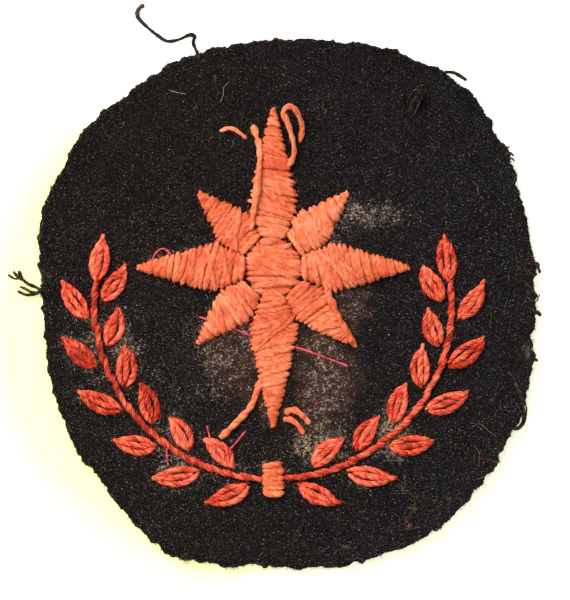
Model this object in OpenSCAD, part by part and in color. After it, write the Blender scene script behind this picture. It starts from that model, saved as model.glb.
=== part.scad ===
// Embroidered cloth patch, lying face up.
// A star of eight rays stands inside a wreath of two leaf sprays. Both are worked
// in padded stitching on a cut piece of thick felted wool cloth.
// Millimetres. +X is the patch's right, +Y its upper edge, +Z its face.
// The origin is under the middle of the cloth, on the surface that it lies on.

/* [Cloth] */
// Width of the cloth, left to right
cloth_w = 64.5; // [58:0.5:80]
// Height of the cloth, lower edge to upper edge
cloth_h = 68; // [62:0.5:84]
// Thickness of the felted wool
cloth_t = 1.6; // [1:0.1:3]
// How far the cut edge rounds in, above and below
edge_round = 0.35; // [0.1:0.05:0.5]
// How far the loosest stretch of the edge lifts off the table
edge_lift = 1.1; // [0:0.1:2]
// Width of the strip along the edge that lifts
lift_strip = 4.5; // [3:0.5:6]
// Height of the soft swells in the cloth's face
swell_h = 0.12; // [0:0.02:0.3]

/* [Stitching] */
// Height of the padded satin stitching of the star
satin_h = 1.1; // [0.5:0.1:1.6]
// Height of the stitching of leaves and stems
leaf_h = 0.9; // [0.4:0.1:1.4]
// Clearance between the stitching and the cloth under it
seat_gap = 0.08; // [0.05:0.01:0.2]
// Clearance between one stitched shape and the next
side_gap = 0.15; // [0.1:0.05:0.3]

/* [Star] */
// How far the star's axis lies left of the cloth's middle
axis_left = 1.7; // [0:0.1:3]
// How far the star's middle lies above the cloth's middle
star_up = 4.6; // [3:0.1:6]
// Diameter of the round hub
hub_d = 7.4; // [5:0.1:8]
// Length of an upright ray, from the star's middle to its point
upright_len = 20.4; // [18:0.1:21]
// Length of a level ray, from the star's middle to its point
level_len = 17.4; // [15:0.1:18]
// Length of a slanting ray, from the star's middle to its point
slanting_len = 13.6; // [11:0.1:15]
// Width of the upright and level rays at their shoulders
long_ray_w = 6; // [4.4:0.1:6.4]
// Width of the slanting rays at their shoulders
slanting_ray_w = 5.2; // [4.2:0.1:6]

/* [Wreath] */
// Clear cloth between the rays and the leaves
ray_gap = 0.9; // [0.6:0.1:1.6]
// Clear cloth between the lowest ray and the stems
foot_gap = 6.2; // [5:0.1:7]
// How far the wreath's middle lies below the cloth's middle
wreath_below = 0.4; // [0:0.1:1.5]
// Angle above level at which each stem ends
stem_end = 8; // [0:1:14]
// Width of a stem
stem_w = 0.9; // [0.6:0.1:1.2]
// Leaves along each side of a stem
leaf_rows = 6; // [4:1:6]
// Length of a leaf on the outside of a stem
leaf_len = 6.2; // [5:0.1:6.6]
// Length of a leaf on the inside of a stem
inner_len = 5.4; // [4.4:0.1:5.8]
// Width of a leaf
leaf_w = 2.5; // [1.8:0.1:2.7]
// Angle between a leaf and its stem
leaf_angle = 30; // [24:1:36]
// How far a leaf bows outwards along its length
leaf_bow = 0.3; // [0:0.05:0.5]
// Unevenness of the hand work, as a share of a leaf's length
hand_share = 0.05; // [0:0.01:0.08]
// Width of the tie between the stems
tie_w = 2.6; // [1.8:0.1:3.2]
// Height of the tie
tie_h = 4; // [2.4:0.1:5]

/* [Hidden] */
cloth_colour = [0.14, 0.12, 0.12];
satin_colour = [0.96, 0.49, 0.31];
leaf_colour = [0.90, 0.34, 0.26];

// Outline of the cloth: at each angle, its radius as a share of a true ellipse's
OUTLINE_SHARE = 1;
outline = [
    [0, 0.985], [15, 0.986], [30, 1.022], [45, 1.066],
    [60, 1.056], [75, 1.020], [90, 0.992], [105, 1.002],
    [120, 1.018], [135, 1.035], [150, 1.036], [165, 1.030],
    [180, 0.978], [195, 0.990], [210, 1.000], [225, 1.014],
    [240, 1.050], [255, 1.032], [270, 1.002], [285, 1.015],
    [300, 1.038], [315, 1.028], [330, 1.020], [345, 1.000]
];

// Lifted edge: at each angle, its rise as a share of edge_lift
LIFT_SHARE = 1;
lifts = [
    [0, 0.45], [45, 0.80], [90, 0.25], [135, 0.50],
    [180, 0.12], [225, 0.45], [270, 0.30], [315, 1.00]
];

// Section of the stitching: place across the half width, and height share
DOME_ACROSS = 0;
DOME_UP = 1;
// Height that is left where the stitching narrows to a point, as a share
point_share = 0.5;
dome = [[-1, 0], [-1, 0.5], [-0.6, 0.88], [0, 1], [0.6, 0.88], [1, 0.5], [1, 0]];

// A leaf: place along its length, and half width as a share of leaf_w / 2
LEAF_ALONG = 0;
LEAF_WIDE = 1;
leaf_form = [
    [0, 0.28], [0.12, 0.62], [0.30, 0.95], [0.48, 1.00],
    [0.68, 0.78], [0.86, 0.42], [1, 0.10]
];

// A ray beyond its shoulders: place along to the point, and half width as a share
RAY_ALONG = 0;
RAY_WIDE = 1;
ray_form = [
    [0, 1.00], [0.10, 0.97], [0.28, 0.82], [0.50, 0.60],
    [0.74, 0.36], [0.90, 0.18], [1, 0.07]
];

// Steps round the cloth, and its rings from the middle out to the lifting strip
cloth_steps = 96;
face_rings = [0.22, 0.44, 0.64, 0.82, 1];
strip_rings = [0.3, 0.6, 0.85];
swell_waves = 3;
swell_turn = 40;

// Cross sections along each stitched shape
hub_steps = 10;
stem_steps = 18;
tie_steps = 7;
// How far round the hub its first and last sections lie
hub_turn = 78;

// How the ends of the tie narrow: over what length, and by what share
tie_end = [0.6, 0.3];

// Places are measured from the star's axis. Between the hub and its shoulders, a ray
// fills its eighth of the turn, up to half a side_gap short of the next ray's half.
star_mid = [0, star_up];
ray_count = 8;
ray_turn = 360 / ray_count;
ray_foot = hub_d / 2 + side_gap;
function flank(r) = r * tan(ray_turn / 2) - side_gap / 2 / cos(ray_turn / 2);
function shoulder(wide) = (wide / 2 + side_gap / 2 / cos(ray_turn / 2)) / tan(ray_turn / 2);

// Measured square to its stem: an inner leaf's middle line, its half width, and how
// far the curved stem comes after it. The foot stands clear of the stem by these.
function leaf_rise(s) =
    s * inner_len * sin(leaf_angle) + leaf_bow * 4 * s * (1 - s) * cos(leaf_angle);
function leaf_half(row) = row[LEAF_WIDE] * leaf_w / 2 * cos(leaf_angle);
function stem_rise(s) = pow(s * inner_len * cos(leaf_angle), 2) / 2 / level_len;
leaf_foot = stem_w / 2 + side_gap + max([
    for (row = leaf_form)
        leaf_half(row) + stem_rise(row[LEAF_ALONG]) - leaf_rise(row[LEAF_ALONG])
]);
inner_reach = leaf_foot + max([
    for (row = leaf_form)
        leaf_half(row) + leaf_rise(row[LEAF_ALONG]) * (1 + hand_share)
]);

// The stems follow a half ellipse that clears the points of the level and lowest rays
stem_b = upright_len - star_up + foot_gap + stem_w / 2 - wreath_below;
stem_a = (level_len + ray_gap + inner_reach)
    / sqrt(1 - pow((star_up + wreath_below) / stem_b, 2));
stem_start = -acos((tie_w / 2 + side_gap) / stem_a);

// Value of a round table at any angle, smooth from row to row
function row_of(table, i) = table[(i + len(table)) % len(table)];
function between(a, b, c, d, t) =
    0.5 * (2 * b + (c - a) * t + (2 * a - 5 * b + 4 * c - d) * t * t
        + (3 * b - a - 3 * c + d) * t * t * t);
function around(table, column, angle) =
    let (f = (angle + 360) % 360 * len(table) / 360, i = floor(f))
    between(
        row_of(table, i - 1)[column], row_of(table, i)[column],
        row_of(table, i + 1)[column], row_of(table, i + 2)[column], f - i
    );

// The cut edge about the pole of its ellipse, fitted to cloth_w by cloth_h
function ellipse_r(angle) =
    1 / sqrt(pow(cos(angle) / cloth_w * 2, 2) + pow(sin(angle) / cloth_h * 2, 2));
function edge_r(angle) = around(outline, OUTLINE_SHARE, angle) * ellipse_r(angle);
cloth_angles = [for (i = [0:cloth_steps - 1]) i * 360 / cloth_steps];
edge_x = [for (a = cloth_angles) edge_r(a) * cos(a)];
edge_y = [for (a = cloth_angles) edge_r(a) * sin(a)];
edge_mid = [max(edge_x) + min(edge_x), max(edge_y) + min(edge_y)] / 2;
edge_fit = [cloth_w / (max(edge_x) - min(edge_x)), cloth_h / (max(edge_y) - min(edge_y))];
function fitted(p) = [(p.x - edge_mid.x) * edge_fit.x, (p.y - edge_mid.y) * edge_fit.y];
function unfitted(p) = [p.x / edge_fit.x + edge_mid.x, p.y / edge_fit.y + edge_mid.y];

// Rise of the cloth at an angle and a distance in from its edge
function lift(angle, inset) =
    let (s = max(0, 1 - inset / lift_strip))
    edge_lift * around(lifts, LIFT_SHARE, angle) * s * s;
function swell(angle, r) =
    swell_h * pow(r / edge_r(angle), 2) * sin(swell_waves * angle + swell_turn);
function face_z(p) =
    let (q = unfitted(p), angle = atan2(q.y, q.x), r = norm(q))
    cloth_t + lift(angle, edge_r(angle) - r) + swell(angle, r);

// A closed skin over rings of points, capped at both ends or joined in a loop
module skin(rings, loop = false) {
    n = len(rings[0]);
    m = len(rings);
    poles = [for (ring = [rings[0], rings[m - 1]]) [for (p = ring) 1] * ring / n];
    walls = [
        for (i = [0:m - (loop ? 1 : 2)], j = [0:n - 1])
            let (a = i * n, b = (i + 1) % m * n, k = (j + 1) % n)
            each [[a + j, a + k, b + k], [a + j, b + k, b + j]]
    ];
    caps = [
        for (j = [0:n - 1])
            let (k = (j + 1) % n, last = (m - 1) * n)
            each [[m * n, k, j], [m * n + 1, last + j, last + k]]
    ];
    polyhedron(
        concat([for (ring = rings) each ring], loop ? [] : poles),
        concat(walls, loop ? [] : caps),
        convexity = 8
    );
}

// One cross section of stitching on the cloth, at a place [point, heading, half width,
// height]. Where it is narrower than high, the stitching stands lower.
function section(place, side) =
    let (
        across = [-sin(place[1]), cos(place[1])],
        height = place[3] * (point_share + (1 - point_share) * min(1, place[2] / place[3])),
        ring = [
            for (row = dome)
                let (
                    q = place[0] + row[DOME_ACROSS] * place[2] * across,
                    p = [side * q.x - axis_left, q.y]
                )
                [p.x, p.y, face_z(p) + seat_gap + row[DOME_UP] * height]
        ]
    )
    side > 0 ? ring : [for (i = [len(ring) - 1:-1:0]) ring[i]];
module stitched(places, side = 1, loop = false) {
    skin([for (place = places) section(place, side)], loop);
}

// Steps from 0 to 1, close together at both ends
function steps(n) = [for (i = [0:n]) (1 - cos(180 * i / n)) / 2];
// Share of the full width at a distance from a bar's end
function end_share(d, end) =
    d >= end[0] ? 1 : 1 - end[1] + end[1] * sqrt(1 - pow(1 - d / end[0], 2));

module cloth_ground() {
    ring = function(r_at, z_at) [
        for (a = cloth_angles)
            let (r = r_at(a), p = fitted(r * [cos(a), sin(a)]))
            [p.x, p.y, z_at(a, r)]
    ];
    top = function(a, r) cloth_t + lift(a, edge_r(a) - r) + swell(a, r);
    under = function(a, r) lift(a, edge_r(a) - r);
    middle = function(a, r) (top(a, r) + under(a, r)) / 2;
    inner = function(share) function(a) share * (edge_r(a) - lift_strip);
    strip = function(share) function(a)
        edge_r(a) - lift_strip + share * (lift_strip - edge_round);
    faces = concat(
        [for (share = face_rings) inner(share)],
        [for (share = strip_rings) strip(share)],
        [strip(1)]
    );
    backs = concat(
        [strip(1)],
        [for (i = [len(strip_rings) - 1:-1:0]) strip(strip_rings[i])],
        [inner(1)]
    );
    color(cloth_colour)
    skin(concat(
        [for (r_at = faces) ring(r_at, top)],
        [ring(function(a) edge_r(a), middle)],
        [for (r_at = backs) ring(r_at, under)]
    ));
}

// The star: a round hub, and rays worked across their own width
module star_hub() {
    color(satin_colour)
    stitched([
        for (i = [0:hub_steps])
            let (a = (i / hub_steps * 2 - 1) * hub_turn)
            [star_mid + [0, hub_d / 2 * sin(a)], 90, hub_d / 2 * cos(a), satin_h]
    ]);
}

// A ray is [name, heading, length, width at its shoulders]
rays = [
    ["ray_right", 0, level_len, long_ray_w],
    ["ray_up_right", 45, slanting_len, slanting_ray_w],
    ["ray_up", 90, upright_len, long_ray_w],
    ["ray_up_left", 135, slanting_len, slanting_ray_w],
    ["ray_left", 180, level_len, long_ray_w],
    ["ray_down_left", 225, slanting_len, slanting_ray_w],
    ["ray_down", 270, upright_len, long_ray_w],
    ["ray_down_right", 315, slanting_len, slanting_ray_w]
];

module ray(i) {
    heading = rays[i][1];
    forward = [cos(heading), sin(heading)];
    wide = rays[i][3];
    wide_r = shoulder(wide);
    point_r = rays[i][2];
    color(satin_colour)
    stitched(concat(
        [[star_mid + ray_foot * forward, heading, flank(ray_foot), satin_h]],
        [
            for (row = ray_form)
                [star_mid + (wide_r + row[RAY_ALONG] * (point_r - wide_r)) * forward,
                    heading, row[RAY_WIDE] * wide / 2, satin_h]
        ]
    ));
}

// The wreath: stems on a half ellipse, joined by a tie below the star
function stem_point(t) = [stem_a * cos(t), stem_b * sin(t) - wreath_below];
function stem_heading(t) = atan2(stem_b * cos(t), -stem_a * sin(t));

module spray_stem(side) {
    color(leaf_colour)
    stitched([
        for (s = steps(stem_steps))
            let (t = stem_start + s * (stem_end - stem_start))
            [stem_point(t), stem_heading(t), stem_w / 2, leaf_h]
    ], side);
}
module spray_stem_left() { spray_stem(-1); }
module spray_stem_right() { spray_stem(1); }

module spray_tie() {
    color(satin_colour)
    stitched([
        for (s = steps(tie_steps))
            let (d = tie_h * min(s, 1 - s))
            [[0, -stem_b - wreath_below + (s - 0.5) * tie_h], 90,
                tie_w / 2 * end_share(d, tie_end), leaf_h]
    ]);
}

// Leaves grow from both sides of a stem in turn, and one from its end.
// A leaf is [name, side of the cloth, side of the stem, place along the stem].
OUT = -1;
IN = 1;
TIP = 0;
outer_first = 0.25;
inner_first = 0.62;
leaves = [
    for (hand = [["left", -1], ["right", 1]])
        each concat(
            [for (k = [1:leaf_rows])
                [str("leaf_", hand[0], "_outer_", k), hand[1], OUT, (k - 1 + outer_first) / leaf_rows]],
            [for (k = [1:leaf_rows])
                [str("leaf_", hand[0], "_inner_", k), hand[1], IN, (k - 1 + inner_first) / leaf_rows]],
            [[str("leaf_", hand[0], "_tip"), hand[1], TIP, 1]]
        )
];
// The uneven hand of the work, from -1 to 1, different for each leaf
function uneven(i) = sin(i * 137.5);

module leaf(i) {
    side = leaves[i][1];
    turn = leaves[i][2];
    t = stem_start + leaves[i][3] * (stem_end - stem_start);
    heading = stem_heading(t) + turn * leaf_angle;
    forward = [cos(heading), sin(heading)];
    across = [-forward.y, forward.x];
    stem_across = [-sin(stem_heading(t)), cos(stem_heading(t))];
    foot = stem_point(t) + turn * leaf_foot * stem_across
        + (turn == TIP ? side_gap * forward : [0, 0]);
    length = (turn == IN ? inner_len : leaf_len) * (1 + hand_share * uneven(i));
    color(leaf_colour)
    stitched([
        for (row = leaf_form)
            let (
                s = row[LEAF_ALONG],
                bow = turn * leaf_bow * 4 * s * (1 - s)
            )
            [foot + s * length * forward + bow * across,
                heading + turn * atan(leaf_bow * 4 * (1 - 2 * s) / length),
                row[LEAF_WIDE] * leaf_w / 2, leaf_h]
    ], side);
}

cloth_ground();
star_hub();
for (i = [0:len(rays) - 1])
    ray(i);
spray_stem_left();
spray_stem_right();
spray_tie();
for (i = [0:len(leaves) - 1])
    leaf(i);
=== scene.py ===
# %% [markdown]
# This scene dresses an embroidered cloth patch: a piece of thick felted wool, cut out by
# hand, with a star and a wreath of two leaf sprays worked on it in padded stitching. A
# imported model already holds every piece at its real place and size. The first step loads
# it and keeps its pieces by name, and the boxes of some of them give sizes later.

# %% Load the imported model
import math

import bpy
import numpy as np
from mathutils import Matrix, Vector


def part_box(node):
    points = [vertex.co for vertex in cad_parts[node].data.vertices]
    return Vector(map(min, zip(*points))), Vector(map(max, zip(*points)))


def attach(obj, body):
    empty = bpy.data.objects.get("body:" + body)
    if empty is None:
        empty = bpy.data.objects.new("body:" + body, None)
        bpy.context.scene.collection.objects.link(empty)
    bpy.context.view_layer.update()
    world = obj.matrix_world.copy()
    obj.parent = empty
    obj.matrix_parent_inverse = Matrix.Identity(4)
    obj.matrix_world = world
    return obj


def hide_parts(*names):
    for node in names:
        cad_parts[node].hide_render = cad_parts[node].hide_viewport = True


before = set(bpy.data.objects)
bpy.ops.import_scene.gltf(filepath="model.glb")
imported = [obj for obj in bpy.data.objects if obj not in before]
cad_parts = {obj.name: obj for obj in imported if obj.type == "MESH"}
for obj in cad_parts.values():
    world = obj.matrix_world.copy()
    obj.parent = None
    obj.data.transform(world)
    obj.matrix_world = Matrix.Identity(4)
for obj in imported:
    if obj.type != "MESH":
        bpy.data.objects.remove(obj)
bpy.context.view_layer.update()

MM = 0.001

# %% [markdown]
# The reference picture looks straight down on the patch. The camera comes first, because
# every later choice of detail depends on how large a stitch is in the picture. A long lens
# high above the cloth keeps all of it at one scale, as a copy stand does. The scale holds at
# the cloth's face. One pixel shows about an eighth of a millimetre, so a satin stitch is
# about five pixels wide.

# %% Camera
PICTURE_ROWS = 600
PIXEL = 0.1279
CLOTH_THICK = 1.6
CAMERA_HIGH = 600
VIEW_MIDDLE = (-0.19, 0.44)
SENSOR = 36

camera = bpy.data.objects.new("camera", bpy.data.cameras.new("camera"))
bpy.context.scene.collection.objects.link(camera)
camera.data.sensor_fit = "VERTICAL"
camera.data.sensor_height = SENSOR
camera.data.lens = SENSOR * CAMERA_HIGH / (PICTURE_ROWS * PIXEL)
camera.location = (VIEW_MIDDLE[0] * MM, VIEW_MIDDLE[1] * MM, (CAMERA_HIGH + CLOTH_THICK) * MM)
bpy.context.scene.camera = camera
bpy.context.scene.view_settings.view_transform = "Standard"
print("lens", round(camera.data.lens, 1), "mm, view", round(PICTURE_ROWS * PIXEL, 1), "mm high")

# %% [markdown]
# A patch on a copy stand is lit softly, a little stronger from the upper left, on a ground
# so pale that it turns white in the picture. One wide lamp and an even white sky do this:
# the lamp draws the shine along the threads and a faint shadow along the lower right edge,
# and the sky fills in the hollows between the stitches.

# %% Lights
KEY_PLACE = (-0.42, 0.46, 0.66)
KEY_SIZE = 0.62
KEY_POWER = 11.5
SKY_STRENGTH = 0.62

lamp = bpy.data.lights.new("key_light", "AREA")
lamp.size = KEY_SIZE
lamp.energy = KEY_POWER
key_light = bpy.data.objects.new("key_light", lamp)
bpy.context.scene.collection.objects.link(key_light)
key_light.location = KEY_PLACE
key_light.rotation_mode = "QUATERNION"
key_light.rotation_quaternion = key_light.location.to_track_quat("Z", "Y")

sky = bpy.data.worlds.new("sky")
sky.use_nodes = True
sky.node_tree.nodes["Background"].inputs["Color"].default_value = (1, 0.995, 0.985, 1)
sky.node_tree.nodes["Background"].inputs["Strength"].default_value = SKY_STRENGTH
bpy.context.scene.world = sky
print("key light", KEY_POWER, "W, sky", SKY_STRENGTH)

# %% [markdown]
# A few small tools serve the whole scene. One cubic joins a few numbers into a smooth curve:
# a round table, read at equal angles, gives a closed one, and later it bends loose threads.
# A patchy field gives soft blotches of a chosen size, which is how felt, dye and wear vary.
# Unit vectors are needed wherever a thread turns.

# %% Smooth curves, blotches and directions
LATTICE = 97
LATTICE_MIDDLE = (48.3, 48.7)


def cubic(rows, t):
    """From the second of four rows to the third as t goes from 0 to 1, with no kink at either."""
    a, b, c, d = rows
    return 0.5 * (2 * b + (c - a) * t + (2 * a - 5 * b + 4 * c - d) * t**2 + (3 * b - a - 3 * c + d) * t**3)


def around(table, angle):
    """Value of a round table at an angle: a cubic through the two rows on either side of it."""
    place = np.mod(angle, 2 * np.pi) * len(table) / (2 * np.pi)
    row = np.floor(place).astype(int)
    rows = [np.asarray(table)[(row + k) % len(table)] for k in (-1, 0, 1, 2)]
    return cubic(rows, place - row)


def eased(t):
    """0 to 1 with a level start and end: three squares less two cubes."""
    return t * t * (3 - 2 * t)


def patchy(x, y, size, seed):
    """Soft blotches from 0 to 1: random numbers on a square lattice, eased from one to the next."""
    lattice = np.random.default_rng(seed).random((LATTICE, LATTICE))
    gx = np.asarray(x) / size + LATTICE_MIDDLE[0]
    gy = np.asarray(y) / size + LATTICE_MIDDLE[1]
    i = np.floor(gx).astype(int)
    j = np.floor(gy).astype(int)
    s = eased(gx - i)
    t = eased(gy - j)
    near_i, far_i = i % LATTICE, (i + 1) % LATTICE
    near_j, far_j = j % LATTICE, (j + 1) % LATTICE
    near = lattice[near_i, near_j] * (1 - s) + lattice[far_i, near_j] * s
    far = lattice[near_i, far_j] * (1 - s) + lattice[far_i, far_j] * s
    return near * (1 - t) + far * t


def unit(v):
    """The same directions at length one, safe where a vector has no length."""
    return v / np.maximum(np.linalg.norm(v, axis=-1, keepdims=True), 1e-9)


print("blotch check", patchy(np.array([0.0, 5.0]), np.array([0.0, 5.0]), 2.0, 1).round(3))

# %% [markdown]
# A mesh is a list of points and a list of faces. Both are made as whole arrays, and Blender
# takes an array in one call, which is hundreds of times faster than adding one point after
# another. Values that differ from point to point, such as the tone of a stitch, travel with
# the mesh as attributes, and the material reads them by name.

# %% From arrays to a piece
# Numbers a point has: what Blender calls such an attribute, and its field
ATTRIBUTE_KINDS = {1: ("FLOAT", "value"), 3: ("FLOAT_VECTOR", "vector"), 4: ("FLOAT_COLOR", "color")}


def add_piece(name, points, faces, look, attributes=None):
    """Makes a mesh object from points in mm and lists of faces, and lets it ride on the patch."""
    mesh = bpy.data.meshes.new(name)
    mesh.vertices.add(len(points))
    mesh.vertices.foreach_set("co", (np.asarray(points) * MM).astype(np.float32).ravel())
    corners = np.concatenate([f.ravel() for f in faces]).astype(np.int32)
    counts = np.concatenate([np.full(len(f), f.shape[1]) for f in faces])
    starts = np.concatenate([[0], np.cumsum(counts)[:-1]]).astype(np.int32)
    mesh.loops.add(len(corners))
    mesh.loops.foreach_set("vertex_index", corners)
    mesh.polygons.add(len(counts))
    mesh.polygons.foreach_set("loop_start", starts)
    mesh.polygons.foreach_set("use_smooth", np.ones(len(counts), bool))
    for key, values in (attributes or {}).items():
        kind, field = ATTRIBUTE_KINDS[values.size // len(values)]
        layer = mesh.attributes.new(key, kind, "POINT")
        layer.data.foreach_set(field, values.astype(np.float32).ravel())
    mesh.materials.append(look)
    mesh.update(calc_edges=True)
    mesh.validate()
    piece = bpy.data.objects.new(name, mesh)
    bpy.context.scene.collection.objects.link(piece)
    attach(piece, "root")
    return piece


def grid_faces(rows, columns):
    """Four-cornered faces of a grid of points whose columns close into a ring."""
    i = np.arange(rows - 1)[:, None]
    j = np.arange(columns)[None, :]
    k = (j + 1) % columns
    here = i * columns
    above = (i + 1) * columns
    return np.stack([here + j, here + k, above + k, above + j], -1).reshape(-1, 4)


print("faces of a 3 by 4 ring grid:", len(grid_faces(3, 4)))

# %% [markdown]
# Every thread, hair and stitch here is a cord along a path, so one function sweeps them all
# at once. A cord's section is a circle with a dip between its plies, pressed to a width and
# a height, and the plies turn as it runs. The sweep needs two directions square to the path
# at each ring. For a stitch, the width lies along a direction that is given. For a free
# thread, they are carried from ring to ring and only straightened, so that it isn't wrung.
# The attribute strand keeps the place on the cord in millimetres, along it and in its
# turning section, and the fibres of the thread are drawn with it.

# %% Cords along paths
STRAND_STARTS = 400
# Painted highlight: how much paler the tone of every cord is at both ends
PAINTED_END_HIGHLIGHT = 0.16


def directions(path, lateral=None):
    """Forward, side and top of paths shaped (path, ring, xyz).
    The side keeps to lateral, less what lies along the path, or it is carried from ring to ring."""
    forward = unit(np.gradient(path, axis=1))
    if lateral is not None:
        lateral = np.broadcast_to(lateral[:, None], forward.shape)
        side = unit(lateral - forward * (lateral * forward).sum(-1, keepdims=True))
        return forward, side, np.cross(forward, side)
    side = np.empty_like(forward)
    steep = np.abs(forward[:, 0, 2:]) > 0.9
    helper = np.where(steep, [[1.0, 0, 0]], [[0, 0, 1.0]])
    side[:, 0] = unit(np.cross(helper, forward[:, 0]))
    for ring in range(1, path.shape[1]):
        ahead = forward[:, ring]
        kept = side[:, ring - 1] - ahead * (side[:, ring - 1] * ahead).sum(-1, keepdims=True)
        side[:, ring] = unit(kept)
    return forward, side, np.cross(forward, side)


def cords(path, wide, tall, sides, rng, plies=0, dip=0.0, turn=4.0, lateral=None):
    """Closed cords: half width wide and half height tall, less a share dip between the plies.
    The plies' angle grows by a full circle in turn mm."""
    count, rings, _ = path.shape
    _, side, top = directions(path, lateral)
    steps = np.linalg.norm(np.diff(path, axis=1), axis=2)
    along = np.concatenate([np.zeros((count, 1)), np.cumsum(steps, 1)], 1)
    angle = np.arange(sides) * 2 * np.pi / sides
    turned = angle - (2 * np.pi * along / turn + rng.uniform(0, 2 * np.pi, (count, 1)))[..., None]
    share = 1 - dip * (1 - np.abs(np.cos(plies * turned / 2)))
    wide = np.broadcast_to(wide, (count, rings))[..., None] * share
    tall = np.broadcast_to(tall, (count, rings))[..., None] * share
    points = path[:, :, None] + side[:, :, None] * (wide * np.cos(angle))[..., None]
    points = points + top[:, :, None] * (tall * np.sin(angle))[..., None]
    far = np.broadcast_to((along + rng.uniform(0, STRAND_STARTS, (count, 1)))[..., None], turned.shape)
    strand = np.stack([far, wide * np.cos(turned), wide * np.sin(turned)], -1)
    first = np.arange(count)[:, None] * rings * sides
    walls = (grid_faces(rings, sides)[None] + first[:, :, None]).reshape(-1, 4)
    ends = np.arange(sides)[None, :]
    caps = np.concatenate([first + ends[:, ::-1], first + (rings - 1) * sides + ends])
    return points.reshape(-1, 3), [walls, caps], strand.reshape(-1, 3)


def thread_part(path, wide, tall, tones, sides, rng, **twist):
    """Cords with what a thread's material reads: the strand, and a tone with a painted highlight at both
    ends.
    """
    points, faces, strand = cords(path, wide, tall, sides, rng, **twist)
    end_highlight_share = np.abs(np.linspace(-1, 1, path.shape[1])) ** 6
    tone = np.repeat((tones[:, None] + PAINTED_END_HIGHLIGHT * end_highlight_share).ravel(), sides)
    return points, faces, {"strand": strand, "tone": tone}


def joined(parts):
    """Several (points, faces, attributes) made into one."""
    points, faces, extra = [], [], {}
    base = 0
    for p, f, a in parts:
        points.append(p)
        faces += [g + base for g in f]
        base += len(p)
        for key, values in a.items():
            extra.setdefault(key, []).append(values)
    return np.concatenate(points), faces, {k: np.concatenate(v) for k, v in extra.items()}


line = np.stack([np.linspace(0, 3, 8), np.zeros(8), np.zeros(8)], -1)[None]
print("points of one short cord", len(cords(line, 0.2, 0.2, 8, np.random.default_rng(1))[0]))

# %% [markdown]
# The cloth was cut by eye, so its edge is an ellipse that wanders. The table gives, every
# 15 degrees, how far the edge lies from a true ellipse. The loose rim lifts by differing
# amounts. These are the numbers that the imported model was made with, and the same formulas
# give the height of the face at any place, so stitches can be set on it.

# %% The cut of the cloth
low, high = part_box("cloth_ground")
CLOTH_W = (high.x - low.x) / MM
CLOTH_H = (high.y - low.y) / MM
EDGE_ROUND = 0.35
EDGE_LIFT = 1.1
LIFT_STRIP = 4.5
SWELL_HIGH = 0.12
SWELL_TURN = math.radians(40)
OUTLINE = [0.985, 0.986, 1.022, 1.066, 1.056, 1.020, 0.992, 1.002, 1.018, 1.035, 1.036, 1.030,
           0.978, 0.990, 1.000, 1.014, 1.050, 1.032, 1.002, 1.015, 1.038, 1.028, 1.020, 1.000]
LIFTS = [0.45, 0.80, 0.25, 0.50, 0.12, 0.45, 0.30, 1.00]


def cut_radius(angle):
    """Distance of the cut edge: the ellipse's, times the share in the outline table."""
    ellipse = 1 / np.hypot(np.cos(angle) / CLOTH_W * 2, np.sin(angle) / CLOTH_H * 2)
    return around(OUTLINE, angle) * ellipse


round_angles = np.arange(96) * 2 * np.pi / 96
edge_x = cut_radius(round_angles) * np.cos(round_angles)
edge_y = cut_radius(round_angles) * np.sin(round_angles)
edge_middle = np.array([edge_x.max() + edge_x.min(), edge_y.max() + edge_y.min()]) / 2
edge_fit = np.array([CLOTH_W / np.ptp(edge_x), CLOTH_H / np.ptp(edge_y)])


def from_polar(angle, radius):
    """Cloth coordinates of a place that is given about the ellipse's pole."""
    return np.stack([(radius * np.cos(angle) - edge_middle[0]) * edge_fit[0],
                     (radius * np.sin(angle) - edge_middle[1]) * edge_fit[1]], -1)


def to_polar(x, y):
    """Angle and radius about the pole, of a place on the cloth."""
    u = x / edge_fit[0] + edge_middle[0]
    v = y / edge_fit[1] + edge_middle[1]
    return np.arctan2(v, u), np.hypot(u, v)


def rim_lift(angle, inset):
    """Rise of the rim: the lift table's share, falling as a square to nothing inside the strip."""
    return EDGE_LIFT * around(LIFTS, angle) * np.maximum(0, 1 - inset / LIFT_STRIP) ** 2


def swell(angle, radius):
    """Three soft waves round the cloth, growing as the square of the radius."""
    return SWELL_HIGH * (radius / cut_radius(angle)) ** 2 * np.sin(3 * angle + SWELL_TURN)


def face_high(x, y):
    """Height of the cloth's face at a place."""
    angle, radius = to_polar(x, y)
    return CLOTH_THICK + rim_lift(angle, cut_radius(angle) - radius) + swell(angle, radius)


# %% [markdown]
# The star's rays, its hub, and the leaves and stems of the wreath are shapes of one kind:
# each has a middle line, and a half width at every place along it. The star's middle and
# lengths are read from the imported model's boxes, and the forms are small tables like its
# own. Kept like this, any shape can be filled with stitches by the same few functions.

# %% The stitched shapes
SATIN_HIGH = 1.1
LEAF_HIGH = 0.9
SEAT_GAP = 0.08
SIDE_GAP = 0.15
POINT_SHARE = 0.5
LONG_RAY_W = 6.0
SLANTING_RAY_W = 5.2
SLANTING_LEN = 13.6
EIGHTH = math.radians(45)
RAY_STEPS = 60
HUB_STEPS = 40
HUB_TURN = 80
# Place from a ray's shoulders to its point, and half width there, both as shares
RAY_FORM = np.array([
    [0, 1.00], [0.10, 0.97], [0.28, 0.82], [0.50, 0.60],
    [0.74, 0.36], [0.90, 0.18], [1, 0.07],
])

hub_low, hub_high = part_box("star_hub")
HUB_D = (hub_high.x - hub_low.x) / MM
AXIS_X = (hub_high.x + hub_low.x) / 2 / MM
STAR_Y = (hub_high.y + hub_low.y) / 2 / MM
UPRIGHT_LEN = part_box("ray_up")[1].y / MM - STAR_Y
LEVEL_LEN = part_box("ray_right")[1].x / MM - AXIS_X


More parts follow.
